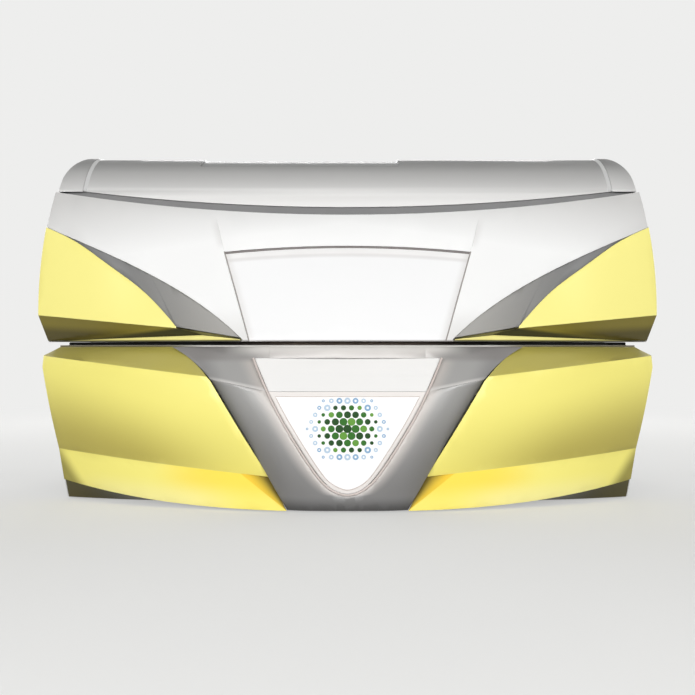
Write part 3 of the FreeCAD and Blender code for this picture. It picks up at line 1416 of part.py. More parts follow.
visor_shape = visor()
keep_shape("canopy_visor", visor_shape)
keep_shape("visor_insert", door())
keep_shape("visor_band", band())
fin_shape = fin()
keep_shape("canopy_fin_right", fin_shape)
keep_shape("canopy_fin_left", mirrored(fin_shape))
lip_shape = lip()
keep_shape("canopy_lips", Part.makeCompound([lip_shape, mirrored(lip_shape)]))
wedge_shape = wedge()
keep_shape("canopy_wedges", Part.makeCompound([wedge_shape, mirrored(wedge_shape)]))


def canopy_end_panel():
    """The right-hand end of the canopy: a shell under the roof cap, with the arched way into the tunnel."""
    shell = curtain(canopy_outline()).cut(curtain(canopy_outline(size.skin, lip_z - 5,
                                                                 size.canopy_shoulder_z + 5)))
    covers = (visor_shape, wedge_shape, fin_shape, lip_shape)
    peak, high, low = size.fin_peak_z, size.fin_peak_z - 24, lip_z + 1
    levels = [peak + rise for rise in (60, 22, 12, 4, 0, -3, -10)]
    levels += [high + (size.fin_crease_z - high) * i / 6 for i in range(7)]
    levels += [size.fin_crease_z + (low - size.fin_crease_z) * i / 4 for i in (1, 2, 3, 4)]
    front = [side(visor_top(shoulder_x).y + size.visor_wall + 1, size.canopy_shoulder_z)]
    front += [side(max(rear_at(cover, z) for cover in covers) + end_gap, z) for z in levels]
    front.append(side(front[-1].y, lip_z))
    radius, rear = size.roof_radius, size.tunnel_y + size.roof_radius
    turn = math.degrees(math.asin((size.canopy_shoulder_z - size.roof_axis_z) / radius))
    high, mid = on_arc(radius, turn, size.roof_axis_z), on_arc(radius, turn / 2, size.roof_axis_z)
    edges = run(front) + [Part.makeLine(front[-1], side(rear, lip_z)),
                          Part.makeLine(side(rear, lip_z), side(rear, size.roof_axis_z)),
                          arc(side(rear, size.roof_axis_z), mid, high), Part.makeLine(high, front[0])]
    shell = shell.common(strip(edges, 0.0, 1500.0))
    tube_out = strip(arch_door(end_arch + size.skin), bulkhead_x + size.plate_wall + seat, 1500.0)
    tube_in = strip(arch_door(end_arch), 0.0, 1500.0)
    tube = tube_out.common(curtain(canopy_outline()))
    return one_solid(shell.fuse(tube).cut(tube_in))


def arch_door(radius):
    """The arched opening in the canopy's ends, open below."""
    left, right = side(size.tunnel_y - radius, size.arch_z), side(size.tunnel_y + radius, size.arch_z)
    low = lip_z if radius > end_arch else lip_z - 20
    feet = [side(left.y, low), side(right.y, low)]
    return [arc(left, side(size.tunnel_y, size.arch_z + radius), right), Part.makeLine(right, feet[1]),
            Part.makeLine(feet[1], feet[0]), Part.makeLine(feet[0], left)]


def rear_cover():
    """The upright back of the canopy and the curved part above it, up to the roof cover."""
    turn = math.degrees(math.asin((size.canopy_shoulder_z - size.roof_axis_z) / size.roof_radius))
    rear = size.tunnel_y + size.roof_radius
    upright = strip(ring([side(rear - size.roof_wall, liner_top + seat), side(rear, liner_top + seat),
                          side(rear, size.roof_axis_z), side(rear - size.roof_wall, size.roof_axis_z)]))
    shape = upright.fuse(strip(arc_band(inner_roof, size.roof_radius, 0, turn, size.roof_axis_z)))
    shape = shape.common(curtain(canopy_outline(size.skin + size.seam, lip_z, size.canopy_shoulder_z)))
    for hand in (1, -1):
        width = size.arm_wall + 2
        low = size.rear_tube_z - 50
        shape = shape.cut(Part.makeBox(width, 40, 110, Vector(hand * size.post_x - width / 2, rear - 20,
                                                              low)))
    return one_solid(shape)


def roof_cover():
    """The long half-round cover, with its curved front edge and the opening of the roof grille."""
    rear_rise = size.canopy_shoulder_z + size.seam - size.roof_axis_z
    rear_turn = math.degrees(math.asin(rear_rise / size.roof_radius))
    half = roof_half - size.seam / 2
    shell = strip(arc_band(inner_roof, size.roof_radius, rear_turn, 168, size.roof_axis_z), -half, half)
    reach = roof_half + 30
    edge = rail(lambda x: flat(x, roof_edge_z(x)), -reach, reach, 9)
    below = curtain([edge] + run([flat(reach, roof_edge_z(reach)), flat(reach, 800), flat(-reach, 800),
                                  flat(-reach, roof_edge_z(reach))]), -900.0, size.tunnel_y)
    opening = Part.makeBox(2 * size.vent_half, 2 * size.vent_half_width, 100,
                           Vector(size.vent_middle_x - size.vent_half,
                                  size.tunnel_y - size.vent_half_width, vent_z - 40))
    low, high = 90 - size.field_turn, 90 + size.field_turn
    left, right = size.vent_middle_x - field_half, size.vent_middle_x + field_half
    field = strip(arc_band(inner_field, size.roof_radius, low - 1, high + 1, size.roof_axis_z),
                  left - size.roof_wall, right + size.roof_wall)
    above = strip(arc_band(size.roof_radius - size.field_drop, size.roof_radius + 30, low, high,
                           size.roof_axis_z), left, right)
    return one_solid(shell.cut(below).fuse(field).cut(above).cut(opening))


def roof_cap():
    """The right-hand end of the roof: it stands proud of the cover and rounds over to the end."""
    low = size.canopy_shoulder_z + size.seam

    def cap_point(inset, rise):
        return flat(shoulder_x - inset, size.canopy_shoulder_z + rise)

    def outline(inset, foot_z):
        start = roof_half + size.seam / 2
        high = size.roof_axis_z + size.roof_radius + size.cap_rise + 1
        foot, shoulder = flat(shoulder_x - size.cap_foot_inset - inset,
                              foot_z), cap_point(size.cap_shoulder_inset + inset, size.cap_shoulder_rise)
        bend = cap_point(size.cap_bend_inset + inset, size.cap_bend_rise - inset / 2)
        top = flat(shoulder_x - size.cap_top_inset - inset, high)
        return [Part.makeLine(flat(start - inset, foot_z), foot), Part.makeLine(foot, shoulder),
                arc(shoulder, bend, top),
                Part.makeLine(top, flat(start - inset, high)),
                Part.makeLine(flat(start - inset, high), flat(start - inset, foot_z))]

    def arch(radius, foot_z):
        turn = math.degrees(math.asin((foot_z - size.roof_axis_z) / radius))
        near, far = on_arc(radius, turn, size.roof_axis_z), on_arc(radius, 180 - turn, size.roof_axis_z)
        return strip([arc(near, on_arc(radius, 90, size.roof_axis_z), far), Part.makeLine(near, far)])

    radius = size.roof_radius + size.cap_rise
    outer = arch(radius, low).common(curtain(outline(0.0, low)))
    hollow = arch(radius - size.roof_wall, low - 20).common(curtain(outline(size.roof_wall, low - 20)))
    return one_solid(outer.cut(hollow))


def roof_grille():
    """The slotted plate in the roof's opening, with the flange that seats it under the cover."""
    half, wide = size.vent_half - seat, size.vent_half_width - seat
    plate = Part.makeBox(2 * half, 2 * wide, size.roof_wall + 1,
                         Vector(-half, -wide, vent_z - size.roof_wall - 2))
    lip_half, lip_wide = size.vent_half + 10, size.vent_half_width + 9
    seat_z = size.roof_axis_z + math.sqrt(inner_field ** 2 - lip_wide ** 2) - seat
    flange = Part.makeBox(2 * lip_half, 2 * lip_wide, 2, Vector(-lip_half, -lip_wide, seat_z - 2))
    shape = plate.fuse(flange)
    length = 2 * wide - 30
    count = int((2 * half - 40) / size.slot_pitch)
    for i in range(count):
        x = (i - (count - 1) / 2) * size.slot_pitch - size.slot_width / 2
        shape = shape.cut(Part.makeBox(size.slot_width, length, 60, Vector(x, -length / 2, vent_z - 40)))
    shape.translate(Vector(size.vent_middle_x, size.tunnel_y, 0))
    return one_solid(shape)


vent_z = size.roof_axis_z + size.roof_radius - size.vent_drop
inner_field = inner_roof - size.field_drop
field_half = size.vent_half + 12
for name, shape in (("canopy_end_panel", canopy_end_panel()), ("roof_cap", roof_cap())):
    keep_shape(name + "_right", shape)
    keep_shape(name + "_left", mirrored(shape))
keep_shape("canopy_rear_cover", rear_cover())
keep_shape("roof_cover", roof_cover())
keep_shape("roof_grille", roof_grille())

# ---------------------------------------------------------------- control panel and its buttons

panel = new_body("panel_master")
face = sketch_on(panel, "panel_face", "XZ_Plane")
half_panel = "$panel_length / 2"
polygon(face, [(f"-{half_panel}", "0"), (half_panel, "0"), (half_panel, "$panel_height"),
               (f"-{half_panel}", "$panel_height")])
pad(panel, face, "$panel_wall", reverse=True)
doc.recompute()
wells = sketch_on(panel, "button_wells", "XZ_Plane")
button_names = ("start_button", "face_button", "fan_button")
for i in range(len(button_names)):
    circle(wells, f"{i - 1} * $button_pitch", "$panel_height / 2", "$button_radius + $button_play")
pocket_through(panel, wells)
back_plate = sketch_on(panel, "panel_back", "XZ_Plane")
polygon(back_plate, [(f"-{half_panel}", "0"), (half_panel, "0"), (half_panel, "$panel_height"),
                     (f"-{half_panel}", "$panel_height")])
pad(panel, back_plate, "$panel_wall - $button_depth + $button_proud - $button_travel - $button_play",
    reverse=True)
button = turned("button_master", [
    ("0", "0"), ("$button_radius", "0"), ("$button_radius", "$button_depth - 1"),
    ("$button_radius - 1", "$button_depth"),
    ("0", "$button_depth")])
doc.recompute()
panel_back = size.tunnel_y - wall_y + size.skin + seat
panel_corner = Vector(size.panel_x, panel_back, size.panel_low_z)
keep_shape("control_panel", copies(panel, [panel_corner]).Solids[0])
button_base = panel_back + size.panel_wall + size.button_proud - size.button_depth
for i, label in enumerate(button_names):
    spot = Vector(size.panel_x + (i - 1) * size.button_pitch, button_base,
                  size.panel_low_z + size.panel_height / 2)
    keep_shape(label, copies(button, [spot], face_back).Solids[0])

# ---------------------------------------------------------------- gas struts

strut_low, strut_high = side(size.strut_low_y, size.strut_low_z), side(size.strut_high_y, size.strut_high_z)
strut_span = (strut_high - strut_low).Length
strut_turn = math.degrees(math.atan2(strut_low.y - strut_high.y, strut_high.z - strut_low.z))
cap_wall = 7.0


def strut_cylinder():
    """The pressure tube with its lower eye, upright, with the eye's centre at the origin."""
    eye, length = size.eye_radius, size.strut_body_length
    shape = Part.makeCylinder(size.strut_radius, length - eye - 6, Vector(0, 0, eye + 6))
    shape = shape.fuse(Part.makeCylinder(size.stud_radius, eye + 6, Vector(0, 0, 4)))
    shape = shape.fuse(tube_along_x(eye, -size.eye_wall / 2, size.eye_wall / 2, 0, 0))
    shape = shape.cut(Part.makeCylinder(size.strut_bore, length - eye - 12 - cap_wall,
                                        Vector(0, 0, eye + 12)))
    shape = shape.cut(Part.makeCylinder(size.rod_radius + size.rod_play, 4 * cap_wall,
                                        Vector(0, 0, length - 2 * cap_wall)))
    return one_solid(shape.cut(tube_along_x(size.eye_pin_radius + size.pin_play, -50, 50, 0, 0)))


def strut_rod():
    """The rod with its piston and the upper ball cup, upright, with the cup's centre at the origin."""
    cup = tube_along_x(size.eye_radius - 2, -size.eye_wall / 2, size.eye_wall / 2, 0, 0)
    rod = Part.makeCylinder(size.rod_radius, size.piston_reach, Vector(0, 0, -size.piston_reach))
    piston = Part.makeCylinder(size.strut_bore - size.rod_play, size.piston_length,
                               Vector(0, 0, -size.piston_reach))
    return one_solid(cup.fuse(rod).fuse(piston))


for hand, label in ((1, "right"), (-1, "left")):
    for name, shape, base in (("strut_cylinder", strut_cylinder(), strut_low),
                              ("strut_rod", strut_rod(), strut_high)):
        shape.rotate(Vector(0, 0, 0), Vector(1, 0, 0), strut_turn)
        shape.translate(base + Vector(hand * size.strut_x, 0, 0))
        keep_shape(f"{name}_{label}", shape)

# ---------------------------------------------------------------- test and write

doc.recompute()
for item in doc.Objects:
    if {"Invalid", "Error"} & set(item.State):
        raise RuntimeError(f"{item.Label} did not recompute: {item.State}")
for label, item in nodes.items():
    if item.Shape.isNull() or not item.Shape.isValid() or not item.Shape.Solids:
        raise RuntimeError(f"{label} has no valid solid")
os.makedirs("parts", exist_ok=True)
for label, item in nodes.items():
    item.Shape.exportStep(f"parts/{label}.step")
print(f"{len(nodes)} nodes written")
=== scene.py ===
import json
import math

import bpy
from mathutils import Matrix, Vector
from mathutils.bvhtree import BVHTree

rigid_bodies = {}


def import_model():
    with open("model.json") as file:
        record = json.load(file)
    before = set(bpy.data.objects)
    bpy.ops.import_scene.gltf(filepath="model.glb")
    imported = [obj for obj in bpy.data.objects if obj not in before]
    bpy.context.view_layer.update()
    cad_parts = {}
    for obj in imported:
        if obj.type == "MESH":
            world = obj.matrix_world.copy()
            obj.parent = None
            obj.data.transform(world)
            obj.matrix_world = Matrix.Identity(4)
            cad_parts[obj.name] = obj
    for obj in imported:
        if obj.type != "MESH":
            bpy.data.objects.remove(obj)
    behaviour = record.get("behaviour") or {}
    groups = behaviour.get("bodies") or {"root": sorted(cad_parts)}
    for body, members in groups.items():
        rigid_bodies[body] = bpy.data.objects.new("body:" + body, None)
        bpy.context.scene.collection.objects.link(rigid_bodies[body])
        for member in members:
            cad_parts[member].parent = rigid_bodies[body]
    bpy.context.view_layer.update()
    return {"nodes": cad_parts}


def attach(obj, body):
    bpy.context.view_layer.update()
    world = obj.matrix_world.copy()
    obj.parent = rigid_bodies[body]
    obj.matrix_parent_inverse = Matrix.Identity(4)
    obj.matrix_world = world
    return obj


for leftover in list(bpy.data.objects):
    bpy.data.objects.remove(leftover)

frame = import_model()
nodes = frame["nodes"]
scene = bpy.context.scene
print("frame loaded:", len(nodes), "nodes")


# nodes of materials and of the world

def tone(red, green, blue):
    # screen colour, 0 to 255, to the linear colour that a shader takes
    def linear(value):
        share = value / 255
        return share / 12.92 if share <= 0.04045 else ((share + 0.055) / 1.055) ** 2.4
    return (linear(red), linear(green), linear(blue), 1.0)


class Link:
    # a node's output, so that shader maths reads as plain expressions
    def __init__(self, tree, socket):
        self.tree, self.socket = tree, socket

    def __add__(self, other):
        return self.tree.maths("ADD", self, other)

    def __sub__(self, other):
        return self.tree.maths("SUBTRACT", self, other)

    def __rsub__(self, other):
        return self.tree.maths("SUBTRACT", other, self)

    def __mul__(self, other):
        return self.tree.maths("MULTIPLY", self, other)

    def __truediv__(self, other):
        return self.tree.maths("DIVIDE", self, other)

    def __pow__(self, other):
        return self.tree.maths("POWER", self, other)

    def __abs__(self):
        return self.tree.maths("ABSOLUTE", self)

    __radd__ = __add__
    __rmul__ = __mul__


class NodeTree:
    def __init__(self, owner):
        owner.use_nodes = True
        self.tree = owner.node_tree

    def add(self, kind, settings=None, sockets=None, out=0):
        node = self.tree.nodes.new(kind)
        for key, value in (settings or {}).items():
            setattr(node, key, value)
        for key, value in (sockets or {}).items():
            self.feed(node.inputs[key], value)
        return Link(self, node.outputs[out])

    def feed(self, socket, value):
        if isinstance(value, Link):
            self.tree.links.new(value.socket, socket)
        else:
            socket.default_value = value

    def maths(self, operation, *values):
        return self.add("ShaderNodeMath", {"operation": operation}, dict(enumerate(values)))

    def seenDirectly(self):
        # 1 for rays from the camera, from gloss and through glass, 0 for the light that rays gather
        share = self.add("ShaderNodeLightPath", out="Is Camera Ray")
        outputs = share.socket.node.outputs
        for name in ("Is Glossy Ray", "Is Transmission Ray"):
            share = self.maths("MAXIMUM", share, Link(self, outputs[name]))
        return share


class Finish(NodeTree):
    def __init__(self, name):
        self.material = bpy.data.materials.new(name)
        super().__init__(self.material)
        self.shader = self.tree.nodes["Principled BSDF"]
        self.place = self.add("ShaderNodeTexCoord", out="Object")
        self.extraRough = 0.0    # a shade may make part of its surface rougher

    def axes(self, names):
        outputs = self.add("ShaderNodeSeparateXYZ", sockets={0: self.place}).socket.node.outputs
        return [Link(self, outputs[name]) for name in names]

    def noise(self, scale, detail=3.0, stretch=(1, 1, 1)):
        place = self.add("ShaderNodeMapping", sockets={0: self.place, 3: stretch})
        return self.add("ShaderNodeTexNoise", sockets={"Vector": place, "Scale": scale, "Detail": detail})

    def ease(self, value, low, high):
        # 0 below low, 1 above high, smooth between
        return self.add("ShaderNodeMapRange", {"interpolation_type": "SMOOTHSTEP"},
                        {0: value, 1: low, 2: high, 3: 0.0, 4: 1.0})

    def clamped(self, value):
        return self.add("ShaderNodeClamp", sockets={0: value, 1: 0.0, 2: 1.0})

    def blend(self, share, first, second):
        return self.add("ShaderNodeMix", {"data_type": "RGBA"}, {0: share, 6: first, 7: second}, out=2)

    def painted(self, base, share, paint):
        # a paint is its strength and its colour
        strength, colour = paint
        return self.blend(share * strength, base, colour)

    def bump(self, height, distance):
        return self.add("ShaderNodeBump", sockets={"Height": height, "Distance": distance, "Strength": 1.0})

    def coat(self, **values):
        for key, value in values.items():
            self.feed(self.shader.inputs[key.replace("_", " ")], value)
        return self.material


# finishes

def darker(colour, share):
    return tuple(c * share for c in colour[:3]) + (1.0,)


def dusty(finish, colour, amount):
    # dust that settles on whatever faces up
    facing = finish.add("ShaderNodeSeparateXYZ", sockets={0: finish.add("ShaderNodeNewGeometry", out="Normal")}, out=2)
    cover = finish.ease(facing, 0.45, 1.0) * finish.noise(9.0, 5.0) * amount
    return finish.blend(cover, colour, tone(196, 192, 184))


def moulded(name, colour, look, shade=None):
    # lacquered or plain moulded plastic: slight tone drift, orange peel, wipe marks, dust on top
    finish = Finish(name)
    drift = finish.noise(2.2, 4.0)
    base = finish.blend(drift, darker(colour, 1 - look["drift"]), colour)
    finish.coat(Coat_Weight=look["coat"], Coat_Roughness=0.08)
    if shade:
        base = shade(finish, base)
    base = dusty(finish, base, look["dust"])
    wipes = finish.noise(14.0, 6.0, (1, 3, 0.35))
    rough = wipes * look["wipes"] + (look["rough"] - look["wipes"] / 2) + finish.extraRough
    peel = finish.noise(look["peelScale"], 2.0)
    normal = finish.bump(peel, look["peel"])
    return finish.coat(Base_Color=base, Roughness=rough, Metallic=look["metal"], Normal=normal)


gloss = {"drift": 0.03, "dust": 0.08, "wipes": 0.10, "rough": 0.32, "peelScale": 420.0, "peel": 0.00002, "metal": 0.0,
         "coat": 0.25}
pearl = {**gloss, "metal": 0.12, "rough": 0.42, "coat": 0.15, "drift": 0.04}
satin = {**gloss, "rough": 0.46, "coat": 0.0, "peelScale": 900.0, "peel": 0.00005}
grained = {**gloss, "rough": 0.62, "coat": 0.0, "peelScale": 1400.0, "peel": 0.00012, "wipes": 0.14}

# lines that the covers fold along, in metres: a place, the height there and the slope outwards
bodyLines = {"creaseX": 0.483, "creaseZ": 0.4386, "creaseSlope": 0.1093, "bellyX": 0.353, "bellyZ": 0.1155,
             "bellySlope": 0.0897, "finTipX": 0.585, "finTipZ": 0.598, "finSlope": 0.0949, "edgeX": 0.193,
             "edgeLean": 0.607, "cornerX": 0.911, "cornerZ": 0.0547, "cornerLean": 0.752, "turnX": 0.196,
             "turnZ": 0.004, "turnLean": 1.408}
# in the shades, every ease says between which two places in metres, or shares of a face, a tone sets in
# painted shade and painted light of the side covers: upper facet, lower face, blade, its corner and its fold
panelPaintedShade = {"foldWidth": 0.0015, "low": (0.76, tone(166, 151, 66)), "lowFrom": 0.32, "lowTo": 1.14,
              "outerShift": 0.22, "facet": (0.72, tone(140, 128, 48)), "faceCoat": 0.12, "bladeRough": 0.3,
              "bladeFootZ": 0.02,
              "rich": (0.95, tone(252, 218, 58)), "warm": (0.55, tone(255, 234, 98)),
              "pale": (0.55, tone(255, 247, 178)), "corner": (0.75, tone(112, 101, 42)),
              "turnLight": tone(244, 206, 60), "turnDark": tone(126, 110, 44)}


def panelShade(finish, base):
    # painted shade and light on the side covers: painted darker over the upper crease and towards the lower one, the
    # blade below painted bright, with painted shade on its fold and outer corner
    paint, lines = panelPaintedShade, bodyLines
    x, z = finish.axes("XZ")
    across, width = abs(x), paint["foldWidth"]
    crease = (across - lines["creaseX"]) * lines["creaseSlope"] + lines["creaseZ"]
    belly = (across - lines["bellyX"]) * lines["bellySlope"] + lines["bellyZ"]
    over, under = finish.ease(z - crease, -width, width), finish.ease(belly - z, -width, width)
    depth = (crease - z) / (crease - belly) + finish.ease(across, 0.45, 1.05) * paint["outerShift"]
    low = finish.ease(depth, paint["lowFrom"], paint["lowTo"]) * finish.ease(across, 0.2, 0.75)
    base = finish.painted(base, low * (1 - under) * (1 - over), paint["low"])
    base = finish.painted(base, over, paint["facet"])
    finish.extraRough = under * paint["bladeRough"]
    finish.coat(Coat_Weight=(1 - under) * paint["faceCoat"])
    down = (belly - z) / (belly - paint["bladeFootZ"])
    inward = finish.ease(0.68 - across, 0.0, 0.26)
    base = finish.painted(base, under * (inward * (1 - finish.ease(down, 0.25, 0.95))), paint["rich"])
    base = finish.painted(base, under * inward, paint["warm"])
    pale = finish.ease(down, 0.3, 1.0) * finish.ease(across, 0.3, 0.55) * (1 - finish.ease(across, 0.8, 1.0))
    base = finish.painted(base, under * pale, paint["pale"])
    corner = (z - lines["cornerZ"]) * lines["cornerLean"] + lines["cornerX"]
    base = finish.painted(base, under * finish.ease(across - corner, -0.012, 0.05), paint["corner"])
    turn = (z - lines["turnZ"]) * lines["turnLean"] + lines["turnX"]
    edge = z * lines["edgeLean"] + lines["edgeX"]
    turned = (turn - across) / finish.maths("MAXIMUM", turn - edge, 0.004)
    facet = finish.blend(finish.ease(turned, 0.1, 1.0), paint["turnLight"], paint["turnDark"])
    return finish.blend(under * finish.ease(turn - across, -0.001, 0.003), base, facet)


# painted shade of the fins' under-facet
finPaintedShade = {"facet": tone(122, 111, 43), "deep": (0.8, tone(60, 53, 20)), "tipX": 0.95, "tipShift": 0.04,
            "dark": tone(8, 7, 2), "darkX": 0.918, "darkZ": 0.5584, "darkSlope": 0.1188}


def finShade(finish, base):
    # painted shade on the fins: the facet under the crease is painted darker, most of all towards the tip, and near
    # black in its painted shadow
    paint, lines = finPaintedShade, bodyLines
    x, z = finish.axes("XZ")
    across = abs(x)
    crease = (across - lines["finTipX"]) * lines["finSlope"] + lines["finTipZ"]
    under = finish.ease(crease - z, -0.001, 0.001)
    finish.coat(Coat_Weight=(1 - under) * gloss["coat"])
    drop = crease - z + (paint["tipX"] - across) * paint["tipShift"]
    facet = finish.painted(paint["facet"], finish.ease(drop, 0.02, 0.055), paint["deep"])
    dark = finish.ease((paint["darkX"] - across) * paint["darkSlope"] + paint["darkZ"] - z, -0.009, 0.007)
    return finish.blend(under, base, finish.blend(dark, facet, paint["dark"]))


# painted highlights along the bead, the crease and the strip, painted shade towards the side covers and the floor
surroundPaintedLight = {"tipZ": 0.056, "beadRise": 0.441, "beadHalf": 0.31, "beadBow": 0.6, "tipGain": 25.0,
                 "low": tone(120, 119, 118), "beside": tone(184, 178, 173), "outer": (0.7, tone(122, 121, 121)),
                 "streak": (0.8, tone(206, 203, 200)), "streakX": 0.248, "streakZ": 0.388, "streakSlope": 0.1937,
                 "strip": (tone(190, 186, 183), tone(146, 144, 142), tone(128, 125, 123)),
                 "stripLit": (0.9, tone(222, 219, 215)), "foot": (0.9, tone(68, 67, 66))}


def surroundShade(finish, base):
    # painted light and shade on the silver surround: a warm, light painted highlight along the bead and a painted
    # highlight streak along the crease, a painted lit band on the strip above, painted shade along the side covers and
    # the floor
    paint = surroundPaintedLight
    x, z = finish.axes("XZ")
    across = abs(x)
    height = finish.maths("MAXIMUM", z - paint["tipZ"], 0.0) / paint["beadRise"]
    bead = height ** paint["beadBow"] * paint["beadHalf"]
    edge = z * bodyLines["edgeLean"] + bodyLines["edgeX"]
    below = finish.maths("MAXIMUM", paint["tipZ"] - z, 0.0) * paint["tipGain"]
    share = (across - bead) / (edge - bead) + below
    base = finish.blend(finish.ease(z, 0.05, 0.42), paint["low"], base)
    base = finish.blend(finish.ease(share, 0.0, 0.36), paint["beside"], base)
    base = finish.painted(base, finish.ease(share, 0.62, 1.05), paint["outer"])
    line = (across - paint["streakX"]) * paint["streakSlope"] + paint["streakZ"]
    streak = finish.ease(z - line, -0.004, 0.001) * (1 - finish.ease(z - line, 0.002, 0.012))
    base = finish.painted(base, streak * finish.ease(0.5 - across, 0.0, 0.12), paint["streak"])
    middle, side, outer = paint["strip"]
    strip = finish.blend(finish.ease(across, 0.2, 0.36), middle, side)
    strip = finish.blend(finish.ease(across, 0.36, 0.5), strip, outer)
    lit = finish.ease(z, 0.498, 0.528) * (1 - finish.ease(across, 0.26, 0.42))
    strip = finish.painted(strip, lit, paint["stripLit"])
    base = finish.blend(finish.ease(z, 0.478, 0.5), base, strip)
    return finish.painted(base, finish.ease(paint["tipZ"] - z, 0.0, 0.05), paint["foot"])


# painted shade along the lower edge of the visor and its panel
canopyEdgeShade = {"topZ": 0.5595, "run": 0.0075, "paint": (0.8, tone(92, 84, 78))}


def turnedUnder(finish, base, z):
    # painted shade: the lower edge of the visor and its panel is painted darker where it turns under towards the gap
    return finish.painted(base, finish.ease(canopyEdgeShade["topZ"] - z, 0.0, canopyEdgeShade["run"]), canopyEdgeShade["paint"])


# painted shade of the visor's wings, their fold and the low part beside the panel
visorPaintedShade = {"wing": tone(204, 203, 201), "wingX": 0.96, "wingSpread": 0.625, "wingZ": 1.027, "wingRise": 4.25,
              "wingFrom": 0.85, "fold": (0.35, tone(206, 204, 201)), "low": (0.45, tone(206, 203, 199))}
# the fold in the visor's wings, which goes on from the upper corners of its panel
wingFold = {"x": 0.424, "z": 0.861, "lean": 0.29, "rises": (0.002, 0.03, 0.06, 0.09, 0.12), "out": 0.0006,
            "radius": 0.0014}


def visorShade(finish, base):
    # painted shade on the visor: its wings painted darker towards their upper corners and along their fold, and painted
    # darker above the gap
    paint = visorPaintedShade
    x, z = finish.axes("XZ")
    across = abs(x)
    wing = (across - paint["wingX"]) * paint["wingSpread"] + (z - paint["wingZ"]) * paint["wingRise"]
    base = finish.blend(finish.clamped(wing + paint["wingFrom"]), base, paint["wing"])
    beside = across - ((z - wingFold["z"]) * wingFold["lean"] + wingFold["x"])
    line = finish.ease(beside, -0.003, 0.0) * (1 - finish.ease(beside, 0.0, 0.03)) * finish.ease(z, 0.865, 0.9)
    base = finish.painted(base, line * (1 - finish.ease(z, 0.94, 1.0)), paint["fold"])
    low = finish.ease(0.68 - z, 0.0, 0.12) * (1 - finish.ease(across, 0.42, 0.56))
    return turnedUnder(finish, finish.painted(base, low, paint["low"]), z)


# painted shade of the visor's panel: bevel band, fold line and sides
doorPaintedShade = {"crownZ": 0.881, "crownBow": -0.1112, "bevel": (0.3, tone(243, 238, 234)),
             "fold": (0.6, tone(222, 219, 217)), "side": (0.5, tone(222, 219, 216)), "lowZ": 0.552, "lowHalf": 0.32,
             "sideLean": 0.3366}


def doorShade(finish, base):
    # painted shade on the visor's panel: a warm painted band where a bevel turns under its upper edge, a painted line
    # of shade at a fold below that, painted shade along its sides
    paint = doorPaintedShade
    x, z = finish.axes("XZ")
    drop = x * x * paint["crownBow"] + paint["crownZ"] - z
    bevel = finish.ease(drop, 0.0, 0.002) * (1 - finish.ease(drop, 0.026, 0.034))
    base = finish.painted(base, bevel, paint["bevel"])
    fold = finish.ease(drop, 0.024, 0.032) * (1 - finish.ease(drop, 0.034, 0.044))
    base = finish.painted(base, fold, paint["fold"])
    past = abs(x) - ((z - paint["lowZ"]) * paint["sideLean"] + paint["lowHalf"])
    return turnedUnder(finish, finish.painted(base, finish.ease(past, -0.03, -0.001), paint["side"]), z)


# painted shade of the roof: towards the ridge and two lines at the sunk field
roofPaintedShade = {"high": tone(142, 142, 141), "highFrom": 1.04, "highRun": 0.2, "ridge": (0.5, tone(80, 80, 80)),
             "line": (0.35, tone(70, 70, 70)), "fieldLeft": -0.546, "fieldRight": 0.189, "axisY": 0.1,
             "lines": ((1.2025, 1.2035, 1.2050, 1.2058), (1.2205, 1.2215, 1.2230, 1.2240))}


def roofShade(finish, base):
    # painted shade on the roof: painted darker towards its ridge, with two fine painted lines of shade in front of the
    # sunk field
    paint = roofPaintedShade
    x, y, z = finish.axes("XYZ")
    base = finish.blend(finish.clamped((z - paint["highFrom"]) / paint["highRun"]), base, paint["high"])
    first, second = [finish.ease(z, a, b) * (1 - finish.ease(z, c, d)) for a, b, c, d in paint["lines"]]
    left, right = paint["fieldLeft"], paint["fieldRight"]
    field = finish.ease(x, left, left + 0.001) * (1 - finish.ease(x, right, right + 0.001))
    field = field * finish.ease(paint["axisY"] - y, 0.0, 0.01)
    base = finish.painted(base, (first + second) * field, paint["line"])
    return finish.painted(base, finish.ease(z, 1.165, 1.245), paint["ridge"])


def wedgeShade(finish, base):
    # painted shade: the wedges are painted darker outwards
    return finish.blend(finish.ease(abs(finish.axes("X")[0]), 0.34, 0.82), base, tone(124, 124, 124))


# painted light of the nosing: a faint glow above, painted shade below
lipPaintedLight = {"edge": (0.5535, 0.562), "glow": tone(255, 244, 150), "strength": 0.55, "under": tone(60, 56, 34)}


def lipShade(finish, base):
    # painted light: the nosing glows faintly above as a painted highlight, though it is no lamp, and is painted dark
    # where it turns under towards the gap
    lit = finish.ease(finish.axes("Z")[0], *lipPaintedLight["edge"])
    glow = finish.blend(lit, (0, 0, 0, 1), lipPaintedLight["glow"])
    finish.coat(Emission_Color=glow, Emission_Strength=lipPaintedLight["strength"])
    return finish.blend(lit, lipPaintedLight["under"], base)


def sealShade(finish, base):
    # painted reflected light: the lip seal is painted paler along the middle
    return finish.blend(finish.ease(abs(finish.axes("X")[0]), 0.14, 0.46), tone(146, 132, 120), base)


# painted light in the middle of the rim's front edge, painted shade over the side covers
rimPaintedLight = {"frontY": -0.490, "bow": 0.2795, "topZ": 0.5396, "middle": tone(226, 224, 220), "outer": tone(96, 90, 62)}


def rimShade(finish, base):
    # painted light and shade: the front edge of the rim is painted light in the middle and dark over the side covers
    paint = rimPaintedLight
    x, y, z = finish.axes("XYZ")
    front = (x * x) * paint["bow"] + paint["frontY"]
    edge = finish.ease(front - y, -0.008, -0.005) * finish.ease(paint["topZ"] - z, 0.0, 0.0004)
    base = finish.blend(edge * (1 - finish.ease(abs(x), 0.30, 0.44)), base, paint["middle"])
    return finish.blend(edge * finish.ease(abs(x), 0.45, 0.62), base, paint["outer"])


